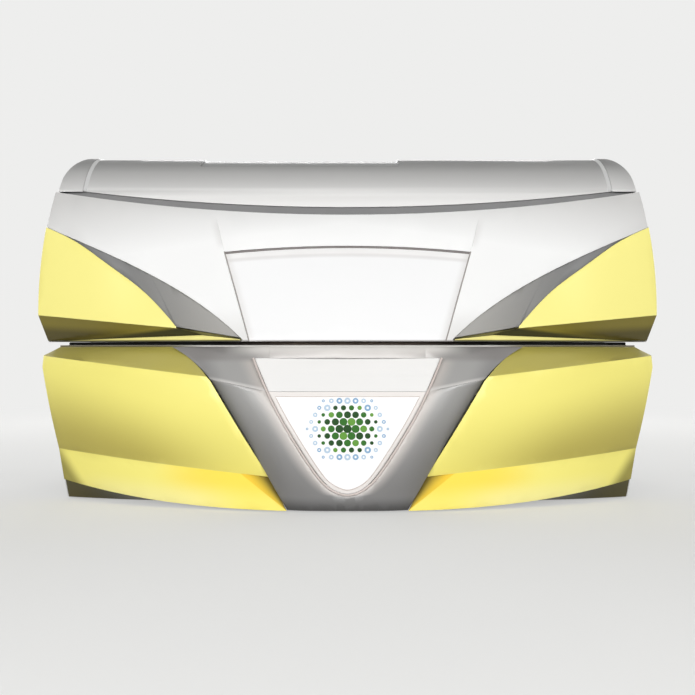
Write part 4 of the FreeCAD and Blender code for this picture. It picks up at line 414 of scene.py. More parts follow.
yellow = moulded("yellowLacquer", tone(255, 244, 132), {**gloss, "rough": 0.42}, panelShade)
finYellow = moulded("finLacquer", tone(255, 245, 142), gloss, finShade)
# the nosing's lacquer glows faintly through lipShade: painted light
lipYellow = moulded("lipGlowLacquer", tone(255, 247, 160), gloss, lipShade)
silver = moulded("silverLacquer", tone(158, 157, 155), pearl, surroundShade)
wedgeSilver = moulded("wedgeLacquer", tone(172, 170, 166), {**pearl, "coat": 0.05}, wedgeShade)
roofSilver = moulded("roofLacquer", tone(236, 235, 233), {**pearl, "metal": 0.0, "rough": 0.5, "coat": 0.05}, roofShade)
white = moulded("whiteLacquer", tone(250, 250, 249), gloss, visorShade)
doorWhite = moulded("doorLacquer", tone(250, 250, 250), gloss, doorShade)
insertWhite = moulded("insertLacquer", tone(237, 236, 234), satin)
frameWhite = moulded("insertFrameLacquer", tone(232, 227, 223), satin)
sheetWhite = moulded("decorSheet", tone(249, 249, 249), {**satin, "drift": 0.0, "dust": 0.02})
beadRose = moulded("beadRose", tone(208, 196, 190), satin)
bandSilver = moulded("bandLacquer", tone(212, 212, 211), {**pearl, "metal": 0.0})
# the visor band sits in the shadow gap between roof and visor: its dark grey is painted shade
bandShadeGrey = moulded("bandShadeGrey", tone(108, 108, 108), satin)
# grey for the shade lines along the side seams of the visor's panel: painted shade
seamShadeGrey = moulded("seamShadeGrey", tone(160, 155, 151), satin)
grilleDark = moulded("grilleDark", tone(60, 60, 62), grained)
shadowGrey = moulded("shadowGrey", tone(112, 106, 104), satin)
# the skirts face down: their yellow is painted dark, as painted shade
skirtPaintedShade = moulded("skirtPaintedShade", tone(70, 64, 30), satin)
sideGrey = moulded("sideGrey", tone(196, 196, 194), grained)
rimGrey = moulded("rimGrey", tone(206, 204, 200), satin)
rimTop = moulded("rimTop", tone(206, 204, 200), satin, rimShade)
blackPlastic = moulded("blackPlastic", tone(28, 28, 30), grained)
rubber = moulded("rubber", tone(30, 28, 27), {**grained, "rough": 0.8})
sealRubber = moulded("sealRubber", tone(26, 24, 22), {**grained, "rough": 0.8}, sealShade)
panelBlack = moulded("panelGloss", tone(18, 19, 22), {**gloss, "rough": 0.16})
buttonGreen = moulded("buttonGreen", tone(54, 158, 86), satin)
buttonWhite = moulded("buttonWhite", tone(226, 226, 224), satin)
holderWhite = moulded("holderWhite", tone(220, 219, 214), satin)
boxGrey = moulded("boxGrey", tone(150, 152, 156), satin)


def metal(name, colour, rough, brush=(1, 1, 1), depth=0.00001):
    # bare or plated metal with brush lines along the stretched axis and faint stains
    finish = Finish(name)
    lines = finish.noise(160.0, 4.0, brush)
    stain = finish.noise(6.0, 5.0)
    base = finish.blend(finish.ease(stain, 0.45, 0.75), colour, darker(colour, 0.82))
    return finish.coat(Base_Color=base, Roughness=lines * 0.14 + (rough - 0.07), Metallic=1.0,
                       Normal=finish.bump(lines, depth))


def powderCoat(name, colour):
    finish = Finish(name)
    grain = finish.noise(700.0, 3.0)
    base = finish.blend(finish.noise(3.0, 4.0), darker(colour, 0.9), colour)
    return finish.coat(Base_Color=dusty(finish, base, 0.3), Roughness=grain * 0.1 + 0.42, Coat_Weight=0.1,
                       Normal=finish.bump(grain, 0.00006))


def clearSheet(name):
    # acrylic: nearly clear, a little blue, with fine wipe marks
    finish = Finish(name)
    marks = finish.noise(22.0, 6.0, (0.3, 1, 1))
    finish.coat(Base_Color=tone(206, 226, 238), Roughness=marks * 0.06 + 0.03, IOR=1.49,
                Alpha=finish.ease(marks, 0.55, 0.9) * 0.05 + 0.16, Coat_Weight=0.4)
    finish.material.surface_render_method = "BLENDED"
    return finish.material


def lampGlass(name, capped):
    # phosphor tube: white, a little violet, darker over its last few centimetres, with metal caps
    finish = Finish(name)
    x = finish.axes("X")[0]
    end = finish.ease(abs(x), 0.80, 0.872)
    base = finish.blend(finish.noise(5.0, 3.0), tone(228, 230, 242), tone(240, 241, 248))
    base = finish.blend(end * finish.noise(30.0, 3.0), base, tone(168, 160, 170))
    cap = finish.ease(abs(x), 0.8718, 0.8724) * capped
    base = finish.blend(cap, base, tone(196, 197, 200))
    return finish.coat(Base_Color=base, Roughness=finish.noise(40.0, 2.0) * 0.08 + cap * 0.14 + 0.16, Metallic=cap,
                       Coat_Weight=(1 - cap) * 0.6)


def blueFilter(name):
    finish = Finish(name)
    grain = finish.noise(60.0, 3.0)
    finish.coat(Base_Color=finish.blend(grain, tone(46, 50, 120), tone(60, 70, 150)), Roughness=grain * 0.06 + 0.05,
                Alpha=0.6, Coat_Weight=0.5)
    finish.material.surface_render_method = "BLENDED"
    return finish.material


frameBlack = powderCoat("framePowder", tone(58, 60, 62))
enamelGrey = powderCoat("enamelGrey", tone(206, 206, 200))
strutBlack = powderCoat("strutLacquer", tone(22, 22, 24))
facialGrey = powderCoat("facialEnamel", tone(190, 191, 192))
pinSteel = metal("pinSteel", tone(172, 173, 175), 0.3, (1, 30, 30))
zincSteel = metal("zincSteel", tone(186, 188, 190), 0.38)
panZinc = metal("panZinc", tone(170, 173, 175), 0.45)
chrome = metal("chrome", tone(214, 216, 220), 0.1, (6, 6, 1))
brightSheet = metal("brightSheet", tone(222, 224, 228), 0.16, (0.05, 3, 3))
acrylic = clearSheet("acrylic")
lampWhite = lampGlass("lampWhite", 1.0)
filterBlue = blueFilter("filterBlue")
burnerGlass = lampGlass("burnerGlass", 0.0)
print("finishes made:", len(bpy.data.materials))


# CAD nodes: each listed node gets its finish; those listed with a bevel width get welded points and softened edges

nodeFinishes = (
    (yellow, "base_panel_left base_panel_right"), (finYellow, "canopy_fin_left canopy_fin_right"),
    (lipYellow, "canopy_lips"), (silver, "base_surround"), (wedgeSilver, "canopy_wedges"),
    (roofSilver, "roof_cover roof_cap_left roof_cap_right"), (white, "canopy_visor"), (doorWhite, "visor_insert"),
    (insertWhite, "base_insert_top"), (frameWhite, "base_insert_panel"), (beadRose, "base_insert_bead"),
    (bandShadeGrey, "visor_band"), (grilleDark, "roof_grille"), (skirtPaintedShade, "base_skirts"),
    (sideGrey, "base_end_panel_left base_end_panel_right base_rear_panel canopy_end_panel_left "
               "canopy_end_panel_right canopy_rear_cover"),
    (rimTop, "base_top_rim"), (rimGrey, "canopy_liner"), (frameBlack, "base_frame canopy_frame hinge_posts"),
    (pinSteel, "hinge_pins"), (zincSteel, "levelling_feet rear_screws"),
    (strutBlack, "strut_cylinder_left strut_cylinder_right"), (chrome, "strut_rod_left strut_rod_right"),
    (acrylic, "bench_acrylic canopy_acrylic"), (lampWhite, "bench_lamps canopy_lamps"),
    (holderWhite, "bench_lamp_holders canopy_lamp_holders"), (brightSheet, "bench_reflector canopy_reflector"),
    (facialGrey, "facial_unit"), (filterBlue, "facial_glass"), (burnerGlass, "facial_burners"),
    (blackPlastic, "base_fan_housings canopy_fan_housing base_fan_rotor_left base_fan_rotor_right canopy_fan_rotor "
                   "mains_inlet"),
    (panZinc, "base_floor_pan"), (enamelGrey, "base_ballasts"), (boxGrey, "power_box"), (panelBlack, "control_panel"),
    (buttonGreen, "start_button"), (buttonWhite, "face_button fan_button"),
)
# widths in millimetres
bevelWidths = {
    0.5: "base_surround facial_glass roof_grille",
    0.6: "base_panel_left base_panel_right canopy_lips canopy_wedges facial_unit",
    0.8: "visor_insert start_button face_button fan_button base_insert_top base_insert_panel",
    0.9: "canopy_fin_left canopy_fin_right",
    1.0: "canopy_visor canopy_frame",
    1.2: "roof_cover base_frame hinge_posts",
    1.5: "roof_cap_left roof_cap_right base_top_rim control_panel base_ballasts",
    2.5: "power_box",
}


def smoothShade(piece, angle=35.0):
    piece.data.polygons.foreach_set("use_smooth", [True] * len(piece.data.polygons))
    with bpy.context.temp_override(object=piece, active_object=piece, selected_objects=[piece],
                                   selected_editable_objects=[piece]):
        bpy.ops.object.shade_smooth_by_angle(angle=math.radians(angle))


def softenEdges(piece, width, angle=32.0, segments=2):
    weld = piece.modifiers.new("weld", "WELD")
    weld.merge_threshold = 0.00002
    bevel = piece.modifiers.new("soften", "BEVEL")
    bevel.width, bevel.segments = width / 1000, segments
    bevel.limit_method, bevel.angle_limit = "ANGLE", math.radians(angle)
    bevel.harden_normals = True


for material, names in nodeFinishes:
    for name in names.split():
        nodes[name].data.materials.clear()
        nodes[name].data.materials.append(material)
for width, names in bevelWidths.items():
    for name in names.split():
        softenEdges(nodes[name], width)
print("nodes dressed:", sum(len(names.split()) for material, names in nodeFinishes))


# builders for the added pieces

def meshPiece(name, points, faces, material, body, smooth=True, slot=None):
    mesh = bpy.data.meshes.new(name)
    mesh.from_pydata([tuple(p) for p in points], [], faces)
    mesh.validate()
    mesh.materials.append(material)
    piece = bpy.data.objects.new(name, mesh)
    scene.collection.objects.link(piece)
    if smooth:
        smoothShade(piece)
    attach(piece, body)
    return piece


def joined(rings, sides, closed=False, turned=False):
    # faces between rings of points, closed in a circle or with two end faces; turned for mirrored rings
    faces = []
    for i in range(rings if closed else rings - 1):
        for k in range(sides):
            a, b = i * sides + k, i * sides + (k + 1) % sides
            c, d = (i + 1) % rings * sides + (k + 1) % sides, (i + 1) % rings * sides + k
            faces.append((a, d, c, b) if turned else (a, b, c, d))
    if not closed:
        first, last = tuple(range(sides)), tuple(range((rings - 1) * sides, rings * sides))
        faces += [first, last[::-1]] if turned else [first[::-1], last]
    return faces


def tubeMesh(path, radius, sides=10, closed=False, flatten=1.0, up=Vector((0, 0, 1))):
    # a round or flattened tube along a path of points
    points, count = [], len(path)
    for i, middle in enumerate(path):
        before = path[(i - 1) % count] if closed or i else path[i]
        after = path[(i + 1) % count] if closed or i + 1 < count else path[i]
        along = (after - before).normalized()
        wide = along.cross(up)
        wide = wide.normalized() if wide.length > 1e-6 else Vector((1, 0, 0))
        high = wide.cross(along).normalized()
        for k in range(sides):
            turn = 2 * math.pi * k / sides
            points.append(middle + wide * math.cos(turn) * radius * flatten + high * math.sin(turn) * radius)
    return points, joined(count, sides, closed)


def latheMesh(outline, centre, axis, sides=32):
    # turns (radius, height) corners about an axis through the centre
    axis = axis.normalized()
    side = axis.orthogonal().normalized()
    other = axis.cross(side)
    points = []
    for i in range(sides):
        turn = 2 * math.pi * i / sides
        spoke = side * math.cos(turn) + other * math.sin(turn)
        points += [centre + spoke * radius + axis * height for radius, height in outline]
    return points, joined(sides, len(outline), closed=True)


def boxMesh(low, high):
    points = [Vector((x, y, z)) for x in (low[0], high[0]) for y in (low[1], high[1]) for z in (low[2], high[2])]
    faces = [(0, 1, 3, 2), (4, 6, 7, 5), (0, 4, 5, 1), (2, 3, 7, 6), (0, 2, 6, 4), (1, 5, 7, 3)]
    return points, faces


def gathered(parts):
    # several (points, faces) pairs as one
    points, faces = [], []
    for somePoints, someFaces in parts:
        start = len(points)
        points += somePoints
        faces += [tuple(i + start for i in face) for face in someFaces]
    return points, faces


def curvePath(points, count):
    # a smooth path through the points, Catmull-Rom
    path = []
    last = len(points) - 1
    for i in range(last):
        a, b, c, d = points[max(i - 1, 0)], points[i], points[i + 1], points[min(i + 2, last)]
        for k in range(count):
            t = k / count
            path.append(0.5 * (2 * b + (c - a) * t + (2 * a - 5 * b + 4 * c - d) * t * t
                               + (3 * b - a - 3 * c + d) * t ** 3))
    path.append(points[last])
    return path


# lower insert: bordered decor sheet with a generic pattern of discs

insert = {"lowZ": 0.056, "foldZ": 0.388, "lowY": -0.555, "foldY": -0.536, "topHalf": 0.31, "topZ": 0.497,
          "sideInset": 0.0175, "tipInset": 0.0155, "topInset": 0.008, "insetRise": 0.12, "borderRadius": 0.0013,
          "sheetThick": 0.0007, "sheetSunk": 0.0006}
beadShares = ((1.0, 1.0), (0.945, 0.9085), (0.855, 0.7735), (0.746, 0.617), (0.571, 0.4045), (0.36, 0.1785),
              (0.205, 0.056), (0.0, 0.0))


def insertY(z):
    share = (z - insert["lowZ"]) / (insert["foldZ"] - insert["lowZ"])
    return insert["lowY"] + (insert["foldY"] - insert["lowY"]) * share


def shieldLine(out):
    # the bead's line moved inwards, closed along the fold by a straight edge
    height = insert["topZ"] - insert["lowZ"]
    half = [Vector((insert["topHalf"] * u, 0, insert["lowZ"] + height * v)) for u, v in beadShares]
    whole = curvePath(half + [Vector((-p.x, 0, p.z)) for p in reversed(half[:-1])], 8)
    path = []
    for before, point, after in zip(whole, whole[1:], whole[2:]):
        along = (after - before).normalized()
        inward = Vector((along.z, 0, -along.x))
        share = min(1.0, (point.z - insert["lowZ"]) / insert["insetRise"])
        moved = point + inward * (insert["tipInset"] + (insert["sideInset"] - insert["tipInset"]) * share)
        if moved.z < insert["foldZ"] - insert["topInset"]:
            path.append(moved)
    return [Vector((p.x, insertY(p.z) - out, p.z)) for p in path]


border = tubeMesh(shieldLine(insert["sheetThick"]), insert["borderRadius"], closed=True, up=Vector((0, 1, 0)))
meshPiece("insertBorder", *border, beadRose, "base", slot="bead_trim")
front = shieldLine(insert["sheetThick"])
rear = shieldLine(-insert["sheetSunk"])
count = len(front)
sheetFaces = [tuple(range(count)), tuple(reversed(range(count, 2 * count)))]
sheetFaces += [((i + 1) % count, i, i + count, (i + 1) % count + count) for i in range(count)]
meshPiece("decorSheet", front + rear, sheetFaces, sheetWhite, "base", smooth=False, slot="printed_panel")

discs = {"middleZ": 0.268, "pitchX": 0.0262, "pitchZ": 0.0227, "largest": 0.0129, "reachX": 0.096, "reachZ": 0.086,
         "ringReach": 1.42, "ringLowZ": 0.155, "ringHighZ": 0.37, "ringLargest": 0.0085, "ringLeast": 0.003,
         "ringHole": 0.4, "taper": 0.62, "thick": 0.0006}
discTones = {"Deep": tone(28, 72, 24), "Leaf": tone(50, 112, 36), "Fresh": tone(104, 160, 62),
             "Mist": tone(190, 212, 232), "Sky": tone(142, 180, 214)}


def printInk(name, colour):
    finish = Finish(name)
    grain = finish.noise(300.0, 3.0)
    base = finish.blend(grain * 0.5, colour, darker(colour, 0.75))
    return finish.coat(Base_Color=base, Roughness=grain * 0.1 + 0.5, Specular_IOR_Level=0.2,
                       Normal=finish.bump(grain, 0.00002))


def discMesh(x, z, radius, hole=0.0):
    upward = Vector((0, insert["foldY"] - insert["lowY"], insert["foldZ"] - insert["lowZ"])).normalized()
    normal = Vector((1, 0, 0)).cross(upward).normalized()
    normal = -normal if normal.y > 0 else normal
    centre = Vector((x, insertY(z) - insert["sheetThick"], z))
    thick, inner = discs["thick"], hole or 0.00002
    outline = [(inner, -0.0001), (radius, -0.0001), (radius, thick * 0.6), (radius - 0.0003, thick)]
    outline += [(inner + 0.0003, thick), (inner, thick * 0.6)] if hole else [(inner, thick * 1.3), (inner, thick)]
    return latheMesh(outline, centre, normal, 28)


printed = {key: [] for key in discTones}
for row in range(-6, 7):
    for column in range(-6, 7):
        x = (column + (row % 2) / 2) * discs["pitchX"]
        z = discs["middleZ"] + row * discs["pitchZ"]
        reach = math.hypot(x / discs["reachX"], (z - discs["middleZ"]) / discs["reachZ"])
        if reach < 1.0:
            radius = discs["largest"] * (1.05 - discs["taper"] * reach * reach)
            printed[("Deep", "Leaf", "Fresh", "Leaf", "Deep")[(row * 2 + column) % 5]].append(discMesh(x, z, radius))
        elif reach < discs["ringReach"] and discs["ringLowZ"] < z < discs["ringHighZ"]:
            share = (discs["ringReach"] - reach) / (discs["ringReach"] - 1.0)
            radius = discs["ringLargest"] * share + discs["ringLeast"]
            printed[("Mist", "Sky")[(row + column) % 2]].append(discMesh(x, z, radius, radius * discs["ringHole"]))
for key, parts in printed.items():
    ink = printInk("ink" + key, discTones[key])
    meshPiece("printedDiscs" + key, *gathered(parts), ink, "base", slot="printed_panel")
print("insert finished")


# canopy front: a dark strip as the shadow line of the visor's panel, grey strips along its sides as painted shade lines
# of its seams, fold of the visor's wings

door = {"topHalf": 0.424, "topZ": 0.861, "crown": 0.020, "lowHalf": 0.320, "lipZ": 0.552, "shadowDrop": 0.0052,
        "shadowOut": 0.0014, "shadowRadius": 0.0018, "shadeLineOut": 0.0016, "shadeLineRadius": 0.0024}
visor = {"topFront": 0.295, "topSweep": 0.083, "topZ": 0.997, "topRise": 0.0925, "shoulder": 1.046,
         "frontReach": 0.570, "noseDepth": 0.310, "halfLength": 1.100, "lipSetback": 0.020, "lipZ": 0.552}


def visorY(x, z):
    share = (x / visor["shoulder"]) ** 2
    topY, topZ = -visor["topFront"] + visor["topSweep"] * share, visor["topZ"] + visor["topRise"] * share
    lowY = -visor["frontReach"] + visor["noseDepth"] * (x / visor["halfLength"]) ** 2 + visor["lipSetback"]
    return topY + (topZ - z) / (topZ - visor["lipZ"]) * (lowY - topY)


half = door["topHalf"] - 0.002
shadowLine = []
for i in range(41):
    x = -half + 2 * half * i / 40
    z = door["topZ"] + door["crown"] * (1 - (x / door["topHalf"]) ** 2) - door["shadowDrop"]
    shadowLine.append(Vector((x, visorY(x, z) + door["shadowOut"], z)))
shadowTube = tubeMesh(shadowLine, door["shadowRadius"], flatten=2.4, up=Vector((0, 1, 0)))
meshPiece("doorShadowLine", *shadowTube, shadowGrey, "canopy", slot="dark_trim")
# the grey strips along the panel's sides are painted shade lines of its seams
sideShadeLines, wingFolds = [], []
for hand in (-1, 1):
    path = []
    for i in range(21):
        z = door["topZ"] - (door["topZ"] - door["lipZ"] - 0.002) * i / 20
        x = hand * (door["topHalf"] - 0.0004 - (door["topHalf"] - door["lowHalf"]) * (door["topZ"] - z)
                    / (door["topZ"] - door["lipZ"] + 0.005))
        path.append(Vector((x, visorY(x, z) + door["shadeLineOut"], z)))
    sideShadeLines.append(tubeMesh(path, door["shadeLineRadius"], up=Vector((0, 1, 0))))
    path = []
    for rise in wingFold["rises"]:
        x, z = wingFold["x"] + wingFold["lean"] * rise, wingFold["z"] + rise
        path.append(Vector((hand * x, visorY(x, z) + wingFold["out"], z)))
    wingFolds.append(tubeMesh(path, wingFold["radius"], up=Vector((0, 1, 0))))
meshPiece("doorSideShadeLines", *gathered(sideShadeLines), seamShadeGrey, "canopy", slot="dark_trim")
meshPiece("visorWingFolds", *gathered(wingFolds), white, "canopy", slot="white_shell")


# roof: light bands beside the end caps

roof = {"axisY": 0.1, "axisZ": 0.893, "radius": 0.364, "bandX": 0.9365, "frontZ": 1.034, "frontSweep": 0.061,
        "sweepHalf": 0.95, "rearZ": 1.0915, "steps": 48,
        "profile": ((0, -0.0006), (0.0015, 0.0008), (0.0105, 0.003995), (0.0126, 0.0047), (0.0132, -0.0006))}


def roofBand(hand):
    # a strip bent over the roof, rising from the cover to the proud end cap
    near = roof["bandX"]
    frontZ = roof["frontZ"] + roof["frontSweep"] * (near / roof["sweepHalf"]) ** 2
    start = math.pi - math.asin((frontZ - roof["axisZ"]) / roof["radius"])
    end = math.asin((roof["rearZ"] - roof["axisZ"]) / roof["radius"])
    points = []
    for i in range(roof["steps"] + 1):
        turn = start + (end - start) * i / roof["steps"]
        for off, rise in roof["profile"]:
            reach = roof["radius"] + rise
            points.append(Vector((hand * (near + off), roof["axisY"] + reach * math.cos(turn),
                                  roof["axisZ"] + reach * math.sin(turn))))
    return points, joined(roof["steps"] + 1, len(roof["profile"]), turned=hand < 0)


meshPiece("roofBands", *gathered([roofBand(-1), roofBand(1)]), bandSilver, "canopy", slot="roof_shell")


# rim seal: keeps the lamps' light in, front and ends

seal = {"frontY": -0.456, "sweep": 0.300, "sweepHalf": 1.036, "lowZ": 0.5395, "highZ": 0.5508, "half": 0.0045,
        "endX": 1.004, "rearY": 0.485}


def sealLine():
    front = []
    for i in range(41):
        x = -seal["endX"] + 2 * seal["endX"] * i / 40
        front.append(Vector((x, seal["frontY"] + seal["sweep"] * (x / seal["sweepHalf"]) ** 2, 0)))
    left = [Vector((-seal["endX"], seal["rearY"] + (front[0].y - seal["rearY"]) * i / 12, 0)) for i in range(12)]
    right = [Vector((seal["endX"], front[-1].y + (seal["rearY"] - front[-1].y) * (i + 1) / 12, 0)) for i in range(12)]
    return left + front + right


def sealMesh():
    # a foot, a waist and a bulb, drawn along the line
    path = sealLine()
    low, high, half = seal["lowZ"], seal["highZ"], seal["half"]
    outline = [(-half * 1.3, low), (half * 1.3, low), (half * 1.3, low + 0.002), (half * 0.6, low + 0.0032),
               (half, low + 0.0062), (half * 0.7, high - 0.001), (0, high), (-half * 0.7, high - 0.001),
               (-half, low + 0.0062), (-half * 0.6, low + 0.0032), (-half * 1.3, low + 0.002)]
    points = []
    for i, middle in enumerate(path):
        along = (path[min(i + 1, len(path) - 1)] - path[max(i - 1, 0)]).normalized()
        side = Vector((along.y, -along.x, 0))
        points += [Vector((middle.x + side.x * off, middle.y + side.y * off, z)) for off, z in outline]
    return points, joined(len(path), len(outline), turned=True)


meshPiece("rimSeal", *sealMesh(), sealRubber, "base", slot="dark_trim")
print("canopy front finished")


# closing strips along the ends, between the end covers and what stands beside them

strips = {"base": [(1.0522, 0.5209), (1.0360, 0.5336), (1.0220, 0.5336), (1.0220, 0.5306), (1.0348, 0.5306),
                   (1.0496, 0.5186)],
          "canopy": [(1.0421, 1.0884), (1.0300, 1.0884), (1.0300, 1.0856), (1.0429, 1.0856)],
          "baseReach": (-0.190, 0.5595), "canopyReach": (-0.202, 0.403)}


def stripMesh(section, reach, hand):
    # a profile in x and z drawn along y
    points = [Vector((hand * x, y, z)) for y in reach for x, z in section]
    faces = joined(2, len(section))
    return points, faces if hand < 0 else [face[::-1] for face in faces]


for body in ("base", "canopy"):
    parts = [stripMesh(strips[body], strips[body + "Reach"], hand) for hand in (-1, 1)]
    meshPiece(body + "EndStrips", *gathered(parts), sideGrey, body, smooth=False, slot="side_shell")


# fixings and small parts

def surfaceOf(name):
    mesh = nodes[name].data
    return BVHTree.FromPolygons([v.co for v in mesh.vertices], [p.vertices for p in mesh.polygons])


def dotted(surface, starts, direction, outline, sides=24):
    # one turned piece on the surface for each start, standing along the surface's normal
    parts = []
    for start in starts:
        place, normal = surface.ray_cast(Vector(start), Vector(direction))[:2]
        if place is None:
            continue
        normal = -normal if normal.dot(Vector(direction)) > 0 else normal
        parts.append(latheMesh(outline, place, normal, sides))
    return parts


plug = {"radius": 0.0095, "rise": 0.0009}
plugOutline = [(0.00002, -0.001), (plug["radius"], -0.001), (plug["radius"], plug["rise"] * 0.5),
               (plug["radius"] * 0.93, plug["rise"]), (plug["radius"] * 0.55, plug["rise"]),
               (plug["radius"] * 0.5, plug["rise"] * 0.4), (0.00002, plug["rise"] * 0.4)]
canopyPlugs = ((-0.185, 0.605), (0.415, 0.605), (-0.095, 0.96), (0.30, 1.03))
basePlugs = ((-0.19, 0.43), (0.17, 0.455), (0.52, 0.455), (-0.10, 0.07), (0.21, 0.06), (0.52, 0.06))
for side, hand in (("left", -1), ("right", 1)):
    for body, places in (("canopy", canopyPlugs), ("base", basePlugs)):
        surface = surfaceOf(body + "_end_panel_" + side)
        parts = dotted(surface, [(hand * 1.3, y, z) for y, z in places], (-hand, 0, 0), plugOutline)
        meshPiece(body + "Plugs" + side.title(), *gathered(parts), sideGrey, body, slot="side_shell")

screw = {"radius": 0.005, "rise": 0.0022}
screwOutline = [(0.00002, -0.001), (screw["radius"], -0.001), (screw["radius"], screw["rise"] * 0.3),
                (screw["radius"] * 0.8, screw["rise"] * 0.85), (screw["radius"] * 0.42, screw["rise"]),
                (screw["radius"] * 0.36, screw["rise"] * 0.45), (0.00002, screw["rise"] * 0.3)]
rearPlaces = [(x, 0.7, z) for x in (-1.02, -0.6, -0.2, 0.2, 0.6, 1.02) for z in (0.585, 1.055)]
parts = dotted(surfaceOf("canopy_rear_cover"), rearPlaces, (0, -1, 0), screwOutline, 16)
meshPiece("canopyRearScrews", *gathered(parts), zincSteel, "canopy", slot="screw_steel")

buffers = {"places": ((-0.968, -0.10), (0.968, -0.10), (-0.968, 0.40), (0.968, 0.40)), "radius": 0.011,
           "lowZ": 0.5397, "height": 0.0115}
parts = []
for x, y in buffers["places"]:
    r, h = buffers["radius"], buffers["height"]
    outline = [(0.00002, 0), (r, 0), (r, h * 0.55), (r * 0.86, h * 0.85), (r * 0.5, h * 0.98), (0.00002, h)]
    parts.append(latheMesh(outline, Vector((x, y, buffers["lowZ"])), Vector((0, 0, 1)), 28))
meshPiece("rimBuffers", *gathered(parts), rubber, "base", slot="dark_trim")

# foam behind the louvres, so that the inside stays dark and clean
foam = {"middles": (-0.6, 0.0, 0.6), "half": 0.112, "lowZ": 0.288, "highZ": 0.453, "frontY": 0.5535, "rearY": 0.5585}
parts = [boxMesh((m - foam["half"], foam["frontY"], foam["lowZ"]), (m + foam["half"], foam["rearY"], foam["highZ"]))
         for m in foam["middles"]]
foamBlack = moulded("foamBlack", tone(34, 34, 35), {**grained, "rough": 0.9, "peelScale": 600.0, "peel": 0.0008})
meshPiece("louvreFoam", *gathered(parts), foamBlack, "base", smooth=False, slot="fan_black")

# wire mesh under the roof grille
wires = {"lowX": -0.536, "highX": 0.180, "lowY": 0.022, "highY": 0.178, "z": 1.2320, "pitch": 0.0085, "thick": 0.0005}
parts = []
for i in range(int((wires["highX"] - wires["lowX"]) / wires["pitch"]) + 1):
    x = wires["lowX"] + i * wires["pitch"]
    parts.append(boxMesh((x - wires["thick"], wires["lowY"], wires["z"]),
                         (x + wires["thick"], wires["highY"], wires["z"] + 2 * wires["thick"])))
for i in range(int((wires["highY"] - wires["lowY"]) / wires["pitch"]) + 1):
    y = wires["lowY"] + i * wires["pitch"]
    parts.append(boxMesh((wires["lowX"], y - wires["thick"], wires["z"] - 2 * wires["thick"]),
                         (wires["highX"], y + wires["thick"], wires["z"])))
meshPiece("grilleMesh", *gathered(parts), zincSteel, "canopy", smooth=False, slot="dark_trim")

# control panel: display window, level bars, small lights and rings round the buttons
panel = {"frontY": -0.2117, "buttonZ": 0.6, "buttons": (0.27, 0.33, 0.39), "ringInner": 0.0122, "ringOuter": 0.0150,
         "ringRise": 0.0009, "window": (0.1945, 0.583, 0.2405, 0.617), "windowRise": 0.0007,
         "lights": (0.420, 0.432, 0.444, 0.456), "lightZ": 0.612, "lightRadius": 0.0022}
toward = Vector((0, 1, 0))
rings = []
for x in panel["buttons"]:
    inner, outer, rise = panel["ringInner"], panel["ringOuter"], panel["ringRise"]
    outline = [(inner, -0.0003), (outer, -0.0003), (outer, rise * 0.5), (outer - 0.0006, rise), (inner + 0.0004, rise),
               (inner, rise * 0.6)]
    rings.append(latheMesh(outline, Vector((x, panel["frontY"], panel["buttonZ"])), toward, 40))
meshPiece("buttonRings", *gathered(rings), zincSteel, "canopy", slot="panel_black")
lowX, lowZ, highX, highZ = panel["window"]
glass = moulded("displayGlass", tone(12, 20, 26), {**gloss, "rough": 0.12, "dust": 0.02})
plate = meshPiece("displayWindow", *boxMesh((lowX, panel["frontY"] - 0.0003, lowZ),
                                            (highX, panel["frontY"] + panel["windowRise"], highZ)),
                  glass, "canopy", smooth=False, slot="panel_black")
softenEdges(plate, 0.3)


def glowing(name, colour, strength):
    finish = Finish(name)
    grain = finish.noise(200.0, 2.0)
    lit = finish.blend(grain * 0.3, colour, darker(colour, 0.6))
    return finish.coat(Base_Color=lit, Emission_Color=lit, Emission_Strength=strength, Roughness=grain * 0.1 + 0.3)


level = {"count": 6, "margin": 0.006, "pitch": 0.006, "width": 0.0036, "foot": 0.007, "least": 0.004, "step": 0.0024}
bars = []
for i in range(level["count"]):
    x, y, z = lowX + level["margin"] + i * level["pitch"], panel["frontY"] + panel["windowRise"], lowZ + level["foot"]
    bars.append(boxMesh((x, y - 0.0001, z), (x + level["width"], y + 0.0002, z + level["least"] + i * level["step"])))
meshPiece("displayBars", *gathered(bars), glowing("barLight", tone(110, 214, 190), 0.8), "canopy", smooth=False,
          slot="panel_black")
dots = []
for x in panel["lights"]:
    r = panel["lightRadius"]
    outline = [(0.00002, -0.0003), (r, -0.0003), (r, 0.0004), (r * 0.6, 0.0010), (0.00002, 0.0012)]
    dots.append(latheMesh(outline, Vector((x, panel["frontY"], panel["lightZ"])), toward, 16))
meshPiece("panelLights", *gathered(dots), glowing("dotLight", tone(96, 206, 120), 0.8), "canopy", slot="panel_black")
print("small parts finished")


# stage, lights and camera

studio = {"floorHalf": 14.0, "floorTone": tone(232, 232, 230), "speckTone": tone(214, 214, 212),
          "bounceTone": tone(120, 120, 119), "backTone": tone(238, 238, 237), "fadeFrom": 1.6, "fadeTo": 5.5,
          "glow": 0.5, "worldTone": (1, 1, 1, 1), "worldStrength": 0.16}


